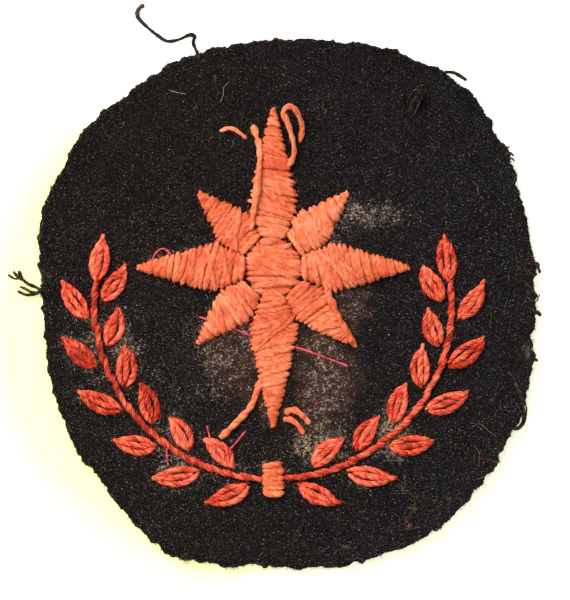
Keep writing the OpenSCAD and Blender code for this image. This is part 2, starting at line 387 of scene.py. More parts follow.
def shape(mid, half, high):
    """A stitched shape from points of its middle line in cloth coordinates and their half widths.
    Where it is narrower than high, it stands lower, down to POINT_SHARE of its height."""
    forward = unit(np.gradient(mid, axis=0))
    return {
        "mid": mid,
        "forward": forward,
        "across": np.stack([-forward[:, 1], forward[:, 0]], -1),
        "along": np.concatenate([[0], np.cumsum(np.linalg.norm(np.diff(mid, axis=0), axis=1))]),
        "half": half,
        "rise": high * (POINT_SHARE + (1 - POINT_SHARE) * np.minimum(1, half / high)),
    }


def read(form, key, s):
    """Value of one of a shape's lists at distances s along it."""
    values = form[key]
    if values.ndim == 1:
        return np.interp(s, form["along"], values)
    return np.stack([np.interp(s, form["along"], values[:, k]) for k in range(values.shape[1])], -1)


def places(form, s, q):
    """Places at distances s along a shape's middle line and shares q of its half width to the side."""
    offset = q * read(form, "half", s)[:, None]
    return read(form, "mid", s)[:, None] + offset[..., None] * read(form, "across", s)[:, None]


def ray_shape(heading, length, wide):
    """A ray: it opens with its eighth of the turn up to its shoulders, then narrows as the table says."""
    gap = SIDE_GAP / 2 / math.cos(EIGHTH / 2)
    foot = HUB_D / 2 + SIDE_GAP
    shoulder = (wide / 2 + gap) / math.tan(EIGHTH / 2)
    far = np.concatenate([[foot], shoulder + RAY_FORM[:, 0] * (length - shoulder)])
    half = np.concatenate([[foot * math.tan(EIGHTH / 2) - gap], RAY_FORM[:, 1] * wide / 2])
    fine = np.linspace(foot, length, RAY_STEPS)
    mid = np.stack([AXIS_X + fine * math.cos(heading), STAR_Y + fine * math.sin(heading)], -1)
    return shape(mid, np.interp(fine, far, half), SATIN_HIGH)


WAYS = ["right", "up_right", "up", "up_left", "left", "down_left", "down", "down_right"]
rays = {}
for i, way in enumerate(WAYS):
    slanting = "_" in way
    upright = way in ("up", "down")
    length = SLANTING_LEN if slanting else (UPRIGHT_LEN if upright else LEVEL_LEN)
    rays["ray_" + way] = ray_shape(i * EIGHTH, length, SLANTING_RAY_W if slanting else LONG_RAY_W)

turn = np.radians(np.linspace(-HUB_TURN, HUB_TURN, HUB_STEPS))
hub_mid = np.stack([np.full(HUB_STEPS, AXIS_X), STAR_Y + HUB_D / 2 * np.sin(turn)], -1)
hub = shape(hub_mid, HUB_D / 2 * np.cos(turn), SATIN_HIGH)
print("star middle", round(AXIS_X, 2), round(STAR_Y, 2), "mm")
print("upright rays", round(UPRIGHT_LEN, 2), "mm, level rays", round(LEVEL_LEN, 2), "mm")

# %% [markdown]
# The wreath's stems follow a half ellipse round the star, and the leaves grow from both
# sides of a stem in turn, with one leaf at its end. A leaf is a bent spindle. Its length
# varies a little from leaf to leaf, as hand work does. The right spray is worked out, and
# the left one is the same with its X turned round.

# %% The wreath's stems, leaves and tie
STEM_W = 0.9
LEAF_LEN = 6.2
INNER_LEN = 5.4
LEAF_W = 2.5
LEAF_ANGLE = math.radians(30)
LEAF_BOW = 0.3
HAND_SHARE = 0.05
TIE_W = 2.6
TIE_H = 4.0
RAY_GAP = 0.9
FOOT_GAP = 6.2
WREATH_BELOW = 0.4
STEM_END = math.radians(8)
LEAF_ROWS = 6
OUTER_FIRST = 0.25
INNER_FIRST = 0.62
GOLDEN_TURN = math.radians(137.5)
TIE_ENDS = 0.6
TIE_NARROWS = 0.3
STEM_STEPS = 80
LEAF_STEPS = 24
TIE_STEPS = 30
# Place from a leaf's foot to its tip, and half width there, both as shares
LEAF_FORM = np.array([
    [0, 0.28], [0.12, 0.62], [0.30, 0.95], [0.48, 1.00],
    [0.68, 0.78], [0.86, 0.42], [1, 0.10],
])

leaf_place = LEAF_FORM[:, 0]
leaf_rise = (leaf_place * INNER_LEN * math.sin(LEAF_ANGLE)
             + LEAF_BOW * 4 * leaf_place * (1 - leaf_place) * math.cos(LEAF_ANGLE))
leaf_half = LEAF_FORM[:, 1] * LEAF_W / 2 * math.cos(LEAF_ANGLE)
stem_rise = (leaf_place * INNER_LEN * math.cos(LEAF_ANGLE)) ** 2 / 2 / LEVEL_LEN
leaf_foot = STEM_W / 2 + SIDE_GAP + (leaf_half + stem_rise - leaf_rise).max()
inner_reach = leaf_foot + (leaf_half + leaf_rise * (1 + HAND_SHARE)).max()
stem_b = UPRIGHT_LEN - STAR_Y + FOOT_GAP + STEM_W / 2 - WREATH_BELOW
stem_a = (LEVEL_LEN + RAY_GAP + inner_reach) / math.sqrt(1 - ((STAR_Y + WREATH_BELOW) / stem_b) ** 2)
stem_start = -math.acos((TIE_W / 2 + SIDE_GAP) / stem_a)


def stem_point(t):
    """Place on the right stem, an ellipse, measured from the star's axis."""
    return np.stack([stem_a * np.cos(t), stem_b * np.sin(t) - WREATH_BELOW], -1)


def stem_heading(t):
    """Direction in which the right stem runs at t."""
    return math.atan2(stem_b * math.cos(t), -stem_a * math.sin(t))


def on_cloth(points, side):
    """Points beside the star's axis, on its left or right, in cloth coordinates."""
    return points * [side, 1] + [AXIS_X, 0]


stems = {}
leaves = {}
number = 0
for hand, side in (("left", -1), ("right", 1)):
    stem_mid = on_cloth(stem_point(np.linspace(stem_start, STEM_END, STEM_STEPS)), side)
    stems["spray_stem_" + hand] = shape(stem_mid, np.full(STEM_STEPS, STEM_W / 2), LEAF_HIGH)
    grown = [(f"leaf_{hand}_outer_{k + 1}", -1, (k + OUTER_FIRST) / LEAF_ROWS) for k in range(LEAF_ROWS)]
    grown += [(f"leaf_{hand}_inner_{k + 1}", 1, (k + INNER_FIRST) / LEAF_ROWS) for k in range(LEAF_ROWS)]
    grown += [(f"leaf_{hand}_tip", 0, 1)]
    for name, turned, place in grown:
        t = stem_start + place * (STEM_END - stem_start)
        heading = stem_heading(t) + turned * LEAF_ANGLE
        forward = np.array([math.cos(heading), math.sin(heading)])
        across = np.array([-forward[1], forward[0]])
        beside = np.array([-math.sin(stem_heading(t)), math.cos(stem_heading(t))])
        foot = stem_point(t) + turned * leaf_foot * beside + (SIDE_GAP * forward if turned == 0 else 0)
        varied = 1 + HAND_SHARE * math.sin(number * GOLDEN_TURN)
        length = (INNER_LEN if turned == 1 else LEAF_LEN) * varied
        s = np.linspace(0, 1, LEAF_STEPS)[:, None]
        mid = foot + s * length * forward + turned * LEAF_BOW * 4 * s * (1 - s) * across
        half = np.interp(s[:, 0], LEAF_FORM[:, 0], LEAF_FORM[:, 1]) * LEAF_W / 2
        leaves[name] = shape(on_cloth(mid, side), half, LEAF_HIGH)
        number += 1

s = np.linspace(0, 1, TIE_STEPS)
tie_mid = np.stack([np.full(TIE_STEPS, AXIS_X), -stem_b - WREATH_BELOW + (s - 0.5) * TIE_H], -1)
tie_end = np.minimum(1, TIE_H * np.minimum(s, 1 - s) / TIE_ENDS)
tie_share = 1 - TIE_NARROWS + TIE_NARROWS * np.sqrt(1 - (1 - tie_end) ** 2)
tie = shape(tie_mid, TIE_W / 2 * tie_share, LEAF_HIGH)
print("leaves", len(leaves), "stem ellipse", round(stem_a, 2), round(stem_b, 2))

# %% [markdown]
# Dust, glue and hairs lie on bare cloth and not through the stitches, and the cloth is
# drawn in beside them. So two maps of the patch are made: one of what the stitches cover,
# and one of how high they stand. Both are also blurred, with a Gaussian in the Fourier
# transform. The first then tells how near a place is to the embroidery, and the second how
# high a thread lies that rests on it.

# %% Maps of the embroidery
CELL = 0.15
CELLS = 520
every_shape = {"star_hub": hub, **rays, **stems, "spray_tie": tie, **leaves}
covered = np.zeros((CELLS, CELLS))
stitched_high = np.zeros((CELLS, CELLS))


def cell_of(x, y):
    """Row and column of the map's cell at a place."""
    row = np.clip((np.asarray(x) / CELL + CELLS / 2).astype(int), 0, CELLS - 1)
    column = np.clip((np.asarray(y) / CELL + CELLS / 2).astype(int), 0, CELLS - 1)
    return row, column


def map_at(values, x, y):
    """What a map says at places."""
    return values[cell_of(x, y)]


def blurred(values, spread):
    """A map smoothed by a Gaussian of that spread in mm."""
    waves = np.fft.fftfreq(CELLS, CELL)
    fade = np.exp(-2 * (math.pi * spread) ** 2 * (waves[:, None] ** 2 + waves[None, :] ** 2))
    return np.real(np.fft.ifft2(np.fft.fft2(values) * fade))


q = np.linspace(-1, 1, 81)
for form in every_shape.values():
    s = np.linspace(0, form["along"][-1], 400)
    spot = places(form, s, q)
    dome = read(form, "rise", s)[:, None] * np.maximum(0, 1 - q**4) ** 0.5
    cells = cell_of(spot[..., 0], spot[..., 1])
    covered[cells] = 1
    np.maximum.at(stitched_high, cells, dome + SEAT_GAP)

near_stitches = blurred(covered, 0.9)
far_stitches = blurred(covered, 3.0)
smooth_high = blurred(stitched_high, 0.2)

# %% [markdown]
# Old glue sticks to the wool round the star. The spots were found in the picture, as
# places and sizes, and a blotchy field breaks them up: a thin stain over the middle of the
# patch, thicker spots on it, and here and there a crust close beside the stitches. In two
# of the spots the glue is a dry paste. The cloth's material and the crumbs read the same
# function, so that they gather in the same spots.

# %% Where the old glue lies
GLUE_SPOTS = np.array([
    # x, y, width, height, strength
    [-1.0, -4.0, 30.0, 30.0, 0.34],
    [5.0, -10.5, 7.0, 16.0, 0.72],
    [-8.0, -6.5, 7.5, 12.0, 0.58],
    [11.2, 11.5, 9.5, 3.9, 0.98],
    [3.6, 8.8, 4.6, 4.2, 0.75],
    [-6.4, 9.6, 5.0, 4.0, 0.45],
    [3.6, -18.4, 6.4, 4.0, 0.95],
    [13.8, -16.6, 4.2, 6.4, 0.95],
    [-20.5, -9.5, 15.0, 17.0, 0.44],
    [-13.0, -22.0, 16.0, 9.0, 0.36],
    [22.0, -22.0, 12.0, 10.0, 0.22],
    [9.0, 0.0, 6.0, 6.0, 0.45],
])
PASTE_SPOTS = GLUE_SPOTS[[6, 7]]


def spotted(spots, x, y):
    """Sum of soft spots. Each is a Gaussian: its strength times e to the minus square of the distance
    over its half width and half height."""
    x = np.asarray(x)[..., None]
    y = np.asarray(y)[..., None]
    away = ((x - spots[:, 0]) / spots[:, 2] * 2) ** 2 + ((y - spots[:, 1]) / spots[:, 3] * 2) ** 2
    return (spots[:, 4] * np.exp(-away)).sum(-1)


def glue_at(x, y):
    """How much glue lies at a place: the spots, broken up by blotches of two sizes."""
    broken = 0.10 + 0.95 * patchy(x, y, 0.9, 31) + 0.80 * patchy(x, y, 3.2, 32)
    beside = 0.75 * np.clip(map_at(near_stitches, x, y) * 2.2, 0, 1) * patchy(x, y, 5.0, 33) ** 2
    return np.clip((spotted(GLUE_SPOTS, x, y) + beside) * broken, 0, 1)


print("glue at the thickest spot", round(float(glue_at(3.6, -18.4)), 2))

# %% [markdown]
# Materials are built from small nodes. One helper adds a node and joins its inputs, and the
# others name what is wanted most: noise, sums, a ramp of colours, a window that opens
# between two values. Numbers that are the same all over are set on the shader itself.
# Patterns that follow a thread read the strand attribute, in millimetres, and patterns on
# the cloth read Object coordinates, in metres.

# %% Building materials
def new_look(name, roughness, specular, sheen, sheen_colour):
    """A material with a Principled shader, and its tree."""
    look = bpy.data.materials.new(name)
    look.use_nodes = True
    shader = look.node_tree.nodes["Principled BSDF"]
    shader.inputs["Roughness"].default_value = roughness
    shader.inputs["Specular IOR Level"].default_value = specular
    shader.inputs["Sheen Weight"].default_value = sheen
    shader.inputs["Sheen Roughness"].default_value = 0.4
    shader.inputs["Sheen Tint"].default_value = (*sheen_colour, 1)
    return look, look.node_tree, shader


def add_node(tree, kind, inputs, **settings):
    """Adds a node. An input is a number, a vector, a colour or another node's output."""
    node = tree.nodes.new(kind)
    for key, value in settings.items():
        setattr(node, key, value)
    for key, value in inputs.items():
        if isinstance(value, bpy.types.NodeSocket):
            tree.links.new(value, node.inputs[key])
        else:
            node.inputs[key].default_value = value
    return node


def object_place(tree):
    """Object coordinates, in metres."""
    return add_node(tree, "ShaderNodeTexCoord", {}).outputs["Object"]


def noise(tree, place, scale, detail=3.0, rough=0.55):
    """Noise from 0 to 1 at a place, with that many waves for each unit of length."""
    inputs = {"Vector": place, "Scale": scale, "Detail": detail, "Roughness": rough}
    return add_node(tree, "ShaderNodeTexNoise", inputs).outputs["Fac"]


def maths(tree, operation, a, b):
    """One sum, product or other step on two numbers."""
    return add_node(tree, "ShaderNodeMath", {0: a, 1: b}, operation=operation).outputs[0]


def scaled(tree, value, factor, shift):
    """A number times a factor, and shifted."""
    inputs = {0: value, 1: factor, 2: shift}
    return add_node(tree, "ShaderNodeMath", inputs, operation="MULTIPLY_ADD").outputs[0]


def vector_maths(tree, operation, a, b, output="Value"):
    """One step on two vectors, such as the distance between them."""
    return add_node(tree, "ShaderNodeVectorMath", {0: a, 1: b}, operation=operation).outputs[output]


def ramp(tree, value, stops):
    """Colours between stops of (value, colour)."""
    node = add_node(tree, "ShaderNodeValToRGB", {"Fac": value})
    while len(node.color_ramp.elements) < len(stops):
        node.color_ramp.elements.new(0.5)
    for element, (place, colour) in zip(node.color_ramp.elements, stops):
        element.position = place
        element.color = (*colour, 1)
    return node.outputs["Color"]


def window(tree, value, start, end):
    """0 before start, 1 past end, eased between. Start may lie above end."""
    inputs = {"Value": value, "From Min": start, "From Max": end}
    return add_node(tree, "ShaderNodeMapRange", inputs, interpolation_type="SMOOTHSTEP").outputs[0]


def blend(tree, share, a, b):
    """Colour a turned into colour b by a share."""
    return add_node(tree, "ShaderNodeMix", {0: share, 6: a, 7: b}, data_type="RGBA").outputs[2]


def attribute(tree, name, output):
    """What the mesh's attribute says at a place."""
    return add_node(tree, "ShaderNodeAttribute", {}, attribute_name=name).outputs[output]


def add_bump(tree, shader, height, strength, distance):
    """Fine relief on the shader's normal, in metres."""
    bump = add_node(tree, "ShaderNodeBump", {"Height": height, "Strength": strength, "Distance": distance})
    tree.links.new(bump.outputs["Normal"], shader.inputs["Normal"])


print("helpers ready")

# %% [markdown]
# Embroidery floss is a loose bundle of fine cotton fibres. Close up it shows thin streaks
# along the strand, lighter where the fibres catch the light, and from stitch to stitch the
# dye has faded by differing amounts. The streaks are noise that is drawn out along the
# strand attribute, and each stitch brings its own tone, from redder to paler. Wear blurs
# neighbouring stitches into each other, so two coarser noises run over all of them.

# %% Thread
# Streaks in a mm along and across the strand, waves in a metre of the two kinds of wear, and how
# strongly streaks and wear shift the tone
STREAKS = (0.9, 4.4, 4.4)
WORN = 420.0
RUBBED = 2100.0
STREAKS_SHOW = 2.1
WEAR_SHOWS = 0.9


def thread_look(name, dark, middle, pale, sheen=0.3, roughness=0.6, reach=0.5):
    """Thread of three colours: dark on the reddest stitches, pale on the faded ones and on streaks."""
    look, tree, shader = new_look(name, roughness, 0.22, sheen, pale)
    drawn_out = vector_maths(tree, "MULTIPLY", attribute(tree, "strand", "Vector"), STREAKS, "Vector")
    fibres = noise(tree, drawn_out, 1.0, 3.0, 0.6)
    place = object_place(tree)
    worn = noise(tree, place, WORN, 2.0, 0.5)
    rubbed = noise(tree, place, RUBBED, 2.0, 0.6)
    value = attribute(tree, "tone", "Fac")
    for pattern, strength in ((fibres, STREAKS_SHOW), (worn, WEAR_SHOWS), (rubbed, WEAR_SHOWS)):
        swing = maths(tree, "MULTIPLY", maths(tree, "SUBTRACT", pattern, 0.5), strength)
        value = maths(tree, "ADD", value, swing)
    colour = ramp(tree, value, [(0.5 - reach, dark), (0.48, middle), (0.5 + reach, pale)])
    tree.links.new(colour, shader.inputs["Base Color"])
    add_bump(tree, shader, maths(tree, "ADD", fibres, maths(tree, "MULTIPLY", rubbed, 0.6)), 0.9, 0.00013)
    return look


ORANGE = [(0.52, 0.058, 0.017), (0.735, 0.140, 0.050), (0.86, 0.290, 0.145)]
CORAL = [(0.35, 0.012, 0.002), (0.87, 0.077, 0.0235), (0.91, 0.225, 0.130)]
BLACK = [(0.003, 0.0035, 0.0035), (0.009, 0.0105, 0.0095), (0.090, 0.052, 0.038)]
MAGENTA = [(0.34, 0.014, 0.028), (0.62, 0.046, 0.080), (0.82, 0.14, 0.17)]
satin_look = thread_look("orange_floss", *ORANGE)
coral_look = thread_look("coral_cotton", *CORAL, reach=0.30)
black_look = thread_look("black_thread", *BLACK, sheen=0.0, roughness=0.85)
magenta_look = thread_look("magenta_thread", *MAGENTA, sheen=0.1)
print("thread looks ready")

# %% [markdown]
# Felted wool has no weave to see: it is a mat of crimped hairs. The ground is a warm near
# black, browner on the left and cooler on the right, with fine dots where a hair or a
# speck of dust catches the light. The dots are weaker near the top, where the cloth is
# cleaner, and more golden on the left. Where the glue function says so, the dots grow
# together into tan specks. Round the foot of the star the glue has also soaked in, and
# ground and specks are browner there than elsewhere. In the paste spots a pale crust
# cracks into small plates. A picture of felt could be laid on the cloth, but noise needs
# no file, never repeats, and can be led by the glue function.

# %% Felted wool
# Waves in a metre of each pattern
GROUND_BLOTCHES = 240
GRAIN = 4700
DUST = 6400
DUST_HUES = 700
GLUE_SPECKS = 5000
GLUE_TINTS = 2600
GLUE_HUES = 3300
PASTE_PLATES = 1050.0
PASTE_GAPS = 1300
SOFT_LUMPS = 900
# The soaked glue's middle and radius, in metres
SOAKED_MIDDLE = (0.0015, -0.005, 0.0)
SOAKED_RADIUS = 0.0095
# Stops of (value of the pattern, colour)
SOAKED = [(0.40, (0.034, 0.0110, 0.0070)), (0.60, (0.029, 0.0180, 0.0120))]
DUST_STOPS = [(0.28, (0.16, 0.035, 0.022)), (0.34, (0.24, 0.175, 0.130)), (0.60, (0.25, 0.230, 0.215))]
BROWN = [(0.34, (0.040, 0.0155, 0.0105)), (0.52, (0.088, 0.042, 0.030)), (0.66, (0.33, 0.185, 0.135))]
KHAKI = [(0.36, (0.022, 0.015, 0.011)), (0.52, (0.095, 0.072, 0.053)), (0.64, (0.38, 0.295, 0.212))]
CRUST = [(0.36, (0.15, 0.095, 0.060)), (0.50, (0.30, 0.200, 0.125)), (0.62, (0.45, 0.310, 0.200))]


def felt_ground(tree, place, grain, soaked, soaked_tint):
    """Near-black wool: soft blotches, dark and pale grain, the soaked stain, and dust in fine dots."""
    coordinates = add_node(tree, "ShaderNodeSeparateXYZ", {"Vector": place})
    across = coordinates.outputs["X"]
    cleaner = window(tree, coordinates.outputs["Y"], 0.004, 0.022)
    dusty = scaled(tree, cleaner, -0.22, 1.0)
    to_right = window(tree, across, -0.02, 0.03)
    ground = blend(tree, to_right, (0.0118, 0.0080, 0.0074, 1), (0.0092, 0.0083, 0.0088, 1))
    blotches = window(tree, noise(tree, place, GROUND_BLOTCHES), 0.35, 0.75)
    ground = blend(tree, blotches, ground, (0.0065, 0.0050, 0.0048, 1))
    ground = blend(tree, window(tree, grain, 0.54, 0.38), ground, (0.0020, 0.0016, 0.0016, 1))
    ground = blend(tree, maths(tree, "MULTIPLY", soaked, 0.85), ground, soaked_tint)
    pale_grain = maths(tree, "MULTIPLY", window(tree, grain, 0.585, 0.74), dusty)
    ground = blend(tree, pale_grain, ground, (0.080, 0.069, 0.065, 1))
    dust_tint = ramp(tree, noise(tree, place, DUST_HUES, 1.0), DUST_STOPS)
    golden = maths(tree, "MULTIPLY", window(tree, across, 0.010, -0.016), 0.65)
    dust_tint = blend(tree, golden, dust_tint, (0.25, 0.195, 0.120, 1))
    dots = window(tree, noise(tree, place, DUST, 1.0, 0.5), 0.69, 0.74)
    return blend(tree, maths(tree, "MULTIPLY", dots, dusty), ground, dust_tint)


def paste_crust(tree, place):
    """Share of the dry paste: plates between the edges of Voronoi cells, with gaps, in the paste spots."""
    edges = {"Vector": place, "Scale": PASTE_PLATES}
    plates = add_node(tree, "ShaderNodeTexVoronoi", edges, feature="DISTANCE_TO_EDGE").outputs["Distance"]
    pasted = window(tree, attribute(tree, "paste", "Fac"), 0.40, 0.62)
    crust = maths(tree, "MULTIPLY", window(tree, plates, 0.03, 0.10), pasted)
    return maths(tree, "MULTIPLY", crust, window(tree, noise(tree, place, PASTE_GAPS, 2.0), 0.38, 0.46))


def felt_look():
    """The wool's ground, with the old glue on it in brown and khaki specks, and the paste in plates."""
    look, tree, shader = new_look("felted_wool", 0.95, 0.08, 0.04, (0.35, 0.30, 0.28))
    place = object_place(tree)
    grain = noise(tree, place, GRAIN, 2.0, 0.75)
    glue = attribute(tree, "glue", "Fac")
    away = vector_maths(tree, "DISTANCE", place, SOAKED_MIDDLE)
    central = window(tree, away, SOAKED_RADIUS + 0.004, SOAKED_RADIUS)
    soaked = maths(tree, "MULTIPLY", window(tree, glue, 0.15, 0.75), central)
    mottled = noise(tree, place, GLUE_HUES, 1.0)
    ground = felt_ground(tree, place, grain, soaked, ramp(tree, mottled, SOAKED))
    specks = noise(tree, place, GLUE_SPECKS, 2.0, 0.75)
    above = maths(tree, "SUBTRACT", specks, scaled(tree, glue, -0.31, 0.72))
    share = window(tree, above, 0.0, 0.06)
    brightness = noise(tree, place, GLUE_TINTS, 2.0)
    browner = maths(tree, "MULTIPLY", central, window(tree, mottled, 0.61, 0.46))
    tint = blend(tree, browner, ramp(tree, brightness, KHAKI), ramp(tree, brightness, BROWN))
    colour = blend(tree, share, ground, tint)
    crust = paste_crust(tree, place)
    colour = blend(tree, crust, colour, ramp(tree, specks, CRUST))
    tree.links.new(colour, shader.inputs["Base Color"])
    relief = maths(tree, "MULTIPLY", grain, 0.9)
    for pattern, strength in ((noise(tree, place, SOFT_LUMPS), 0.6), (share, 0.35), (crust, 1.1)):
        relief = maths(tree, "ADD", relief, maths(tree, "MULTIPLY", pattern, strength))
    add_bump(tree, shader, relief, 0.8, 0.00022)
    return look


def tinted_look(name, roughness):
    """Hairs and crumbs, whose colour travels with the mesh."""
    look, tree, shader = new_look(name, roughness, 0.12, 0.0, (0.5, 0.45, 0.4))
    tree.links.new(attribute(tree, "tint", "Color"), shader.inputs["Base Color"])
    return look


wool = felt_look()
hair_look = tinted_look("wool_hairs", 0.8)
crumb_look = tinted_look("glue_crumbs", 0.9)
print("wool look ready")

# %% [markdown]
# Scissors leave a wandering edge, and wear bites into it. Fine blotches make it ragged,
# each layer of the felt a little differently, and a table of bites and bumps gives the
# larger ones that the picture shows. The face has soft lumps of three sizes, and the
# stitching draws it in beside each shape. All of it could be pushed and pulled by hand,
# but formulas can be asked for the edge at any angle, which the hairs need too.

# %% The ragged edge and the felt's relief
BITES = np.array([
    # x, y, half width, depth, which is below zero where the edge stands out
    [-21.7, -27.7, 1.2, 0.55],
    [-24.0, -24.5, 0.9, 0.45],
    [23.2, 22.9, 2.6, 0.60],
    [26.8, 21.4, 0.9, 0.65],
    [27.6, 15.6, 1.6, 0.35],
    [-18.5, 26.4, 2.0, 0.45],
    [-21.3, 26.2, 1.6, 0.55],
    [-32.0, 2.0, 9.0, 0.18],
    [-1.0, -34.0, 15.0, -0.36],
    [-4.2, -34.0, 1.6, 0.75],
    [32.0, -3.4, 2.6, 0.60],
    [25.9, -19.6, 1.4, -0.45],
    [32.0, 5.0, 1.0, -0.45],
    [-25.4, -18.6, 1.6, -0.75],
    [30.2, 9.8, 1.3, -0.60],
    [29.4, 15.1, 1.0, 0.40],
    [26.8, 21.7, 1.0, 0.50],
    [19.5, 30.0, 1.0, -0.45],
    [-11.9, 30.9, 0.8, 0.40],
    [-18.7, 28.6, 1.2, 0.42],
    [-28.5, 18.5, 1.0, 0.42],
    [-14.8, -31.9, 1.5, -0.50],
    [-6.2, -33.5, 1.6, 0.40],
    [12.5, -30.6, 1.4, -0.45],
    [31.8, -5.2, 1.0, 0.25],
])
TRIMMED = 0.28
DRAWN_IN = 0.22


def ragged(angle, layer):
    """How far the cut edge stands out, in mm: blotches of three sizes, the finest of them differing from
    layer to layer, less what is trimmed all round and each bite's Gaussian."""
    spot = from_polar(angle, cut_radius(angle))
    x, y = spot[..., 0], spot[..., 1]
    bumps = 0.45 * (patchy(x, y, 2.6, 41) - 0.5) + 0.55 * (patchy(x, y, 0.9, 42) - 0.5)
    bumps += 0.44 * (patchy(x, y, 0.36, 43 + layer) - 0.5) - TRIMMED
    for bite_x, bite_y, wide, deep in BITES:
        bumps -= deep * np.exp(-((x - bite_x) ** 2 + (y - bite_y) ** 2) / wide**2)
    return bumps


def face_relief(x, y):
    """Soft lumps of the felt, and the draw of the stitching beside each shape, in mm."""
    lumps = 0.07 * (patchy(x, y, 0.9, 51) - 0.5) + 0.10 * (patchy(x, y, 2.4, 52) - 0.5)
    lumps += 0.16 * (patchy(x, y, 7.0, 53) - 0.5)
    return lumps - DRAWN_IN * map_at(near_stitches, x, y)


def felt_high(x, y):
    """Height of the felt's own surface: the cloth's face and its relief."""
    return face_high(x, y) + face_relief(x, y)


print("relief beside the star", round(float(face_relief(6.0, 8.0)), 2), "mm")

# %% [markdown]
# The cloth itself could be a flat sheet given thickness by a modifier, but the cut edge is
# what makes thick felt look thick. So it is one closed skin: rings run out from the middle
# over the face, round the cut edge and back under it. Under the embroidery the back is a
# little hollow, for the threads that lie there.

# %% The cloth
FACE_RINGS = 62
BACK_RINGS = 9
AROUND = 1240
EDGE_LAYERS = 6
EDGE_TALL = 0.9
EDGE_FULL = 0.6
BACK_HOLLOW = 0.28
BACK_INNERMOST = 0.08
RING_CROWDING = 0.86


def ring(angle, share, layer):
    """Places on a ring of the face or back. The ragged edge fades in over the outer quarter."""
    radius = share * (cut_radius(angle) - EDGE_ROUND) + ragged(angle, layer) * max(0, share * 4 - 3)
    return from_polar(angle, radius), radius


def cloth_mesh():
    """Rings out over the face, round the edge in layers, and in under the back, closed at both poles."""
    angle = np.arange(AROUND) * 2 * np.pi / AROUND
    rim = cut_radius(angle)
    rings = []
    for share in np.linspace(0, 1, FACE_RINGS + 1)[1:] ** RING_CROWDING:
        spot, _ = ring(angle, share, 0)
        rings.append(np.column_stack([spot, felt_high(spot[:, 0], spot[:, 1])]))
    rim_middle = rim_lift(angle, 0) + CLOTH_THICK / 2 + swell(angle, rim) / 2
    for layer in range(EDGE_LAYERS):
        lean = math.pi * (layer + 0.5) / EDGE_LAYERS
        out = rim - EDGE_ROUND * (1 - math.sin(lean) ** EDGE_FULL) + ragged(angle, layer)
        spot = from_polar(angle, out)
        rings.append(np.column_stack([spot, rim_middle + CLOTH_THICK / 2 * EDGE_TALL * math.cos(lean)]))
    for share in np.linspace(1, BACK_INNERMOST, BACK_RINGS):
        spot, radius = ring(angle, share, EDGE_LAYERS)
        hollow = BACK_HOLLOW * np.clip(2 * map_at(far_stitches, spot[:, 0], spot[:, 1]), 0, 1)
        rings.append(np.column_stack([spot, rim_lift(angle, rim - radius) + hollow]))
    points = np.concatenate(rings)
    count = len(rings)
    middle = from_polar(0.0, 0.0)
    points = np.vstack([points, [*middle, float(felt_high(*middle))], [*middle, BACK_HOLLOW]])
    j = np.arange(AROUND)
    k = (j + 1) % AROUND
    pole = count * AROUND
    top_fan = np.stack([np.full(AROUND, pole), j, k], -1)
    last = (count - 1) * AROUND
    back_fan = np.stack([np.full(AROUND, pole + 1), last + k, last + j], -1)
    walls = grid_faces(count, AROUND)[:, ::-1]
    return points, [walls, top_fan, back_fan]


points, faces = cloth_mesh()
on_face = points[:, 2] > CLOTH_THICK / 2
glue = glue_at(points[:, 0], points[:, 1]) * on_face
paste = np.clip(spotted(PASTE_SPOTS, points[:, 0], points[:, 1]), 0, 1) * on_face
cloth = add_piece("cloth", points, faces, wool, {"glue": glue, "paste": paste})
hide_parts("cloth_ground")
print("cloth faces", len(cloth.data.polygons))

# %% [markdown]
# Padded satin stitch is worked over a bed of cotton, so that it stands up in a soft ridge.
# Each stitch is a flat bundle of loosely twisted floss that comes up through the cloth at
# one edge, crosses the ridge and goes down at the other edge, so a cord is carried along
# that arch. A ridge with stripes in its material would be lighter, but only separate
# strands cast the fine shadows between stitches. The hand isn't even: heights, widths and
# tones vary from stitch to stitch, and the ends stand out unevenly, which gives the shape
# its scalloped edge.

# %% Satin stitches
STITCH_RINGS = 20
STITCH_SIDES = 12
FLOSS_PLIES = 3
FLOSS_DIP = 0.17
FLOSS_TURN = 3.4
SUNK_FROM = 0.90
# How uneven the hand is: ends and bends in mm or as shares, heights and widths as shares
ENDS_PAST = 0.02
ENDS_SPREAD = 0.04
BEND_SPREAD = 0.12
HEIGHT_SPREAD = 0.05
WIDTH_SPREAD = 0.08
# Share of the thickness at a point, and the half width from which a stitch is full
SLIMMEST = 0.5
FULL_FROM = 1.4
# Tone of a stitch: its middle, how much dye blotches of a size in mm shift it, and its spread
SATIN_TONE = 0.47
FADED_BY = 0.40
FADED_SIZE = 3.4
TONE_SPREAD = 0.08


def arch(t):
    """Flattened arch: across goes from -1 to 1 as a sine drawn towards its ends, and up is its partner."""
    lean = np.pi / 2 * np.clip(t / SUNK_FROM, -1, 1)
    across = np.sign(lean) * np.abs(np.sin(lean)) ** 0.85
    up = np.maximum(np.cos(lean), 0) ** 0.60
    sunk = -0.5 * np.clip((np.abs(t) - SUNK_FROM) / (1 - SUNK_FROM), 0, 1)
    return across, np.where(np.abs(t) > SUNK_FROM, sunk, up)


def slimness(half):
    """Share of the full thickness that a stitch keeps where its shape narrows to a point."""
    return np.clip(SLIMMEST + (1 - SLIMMEST) * half / FULL_FROM, SLIMMEST, 1)


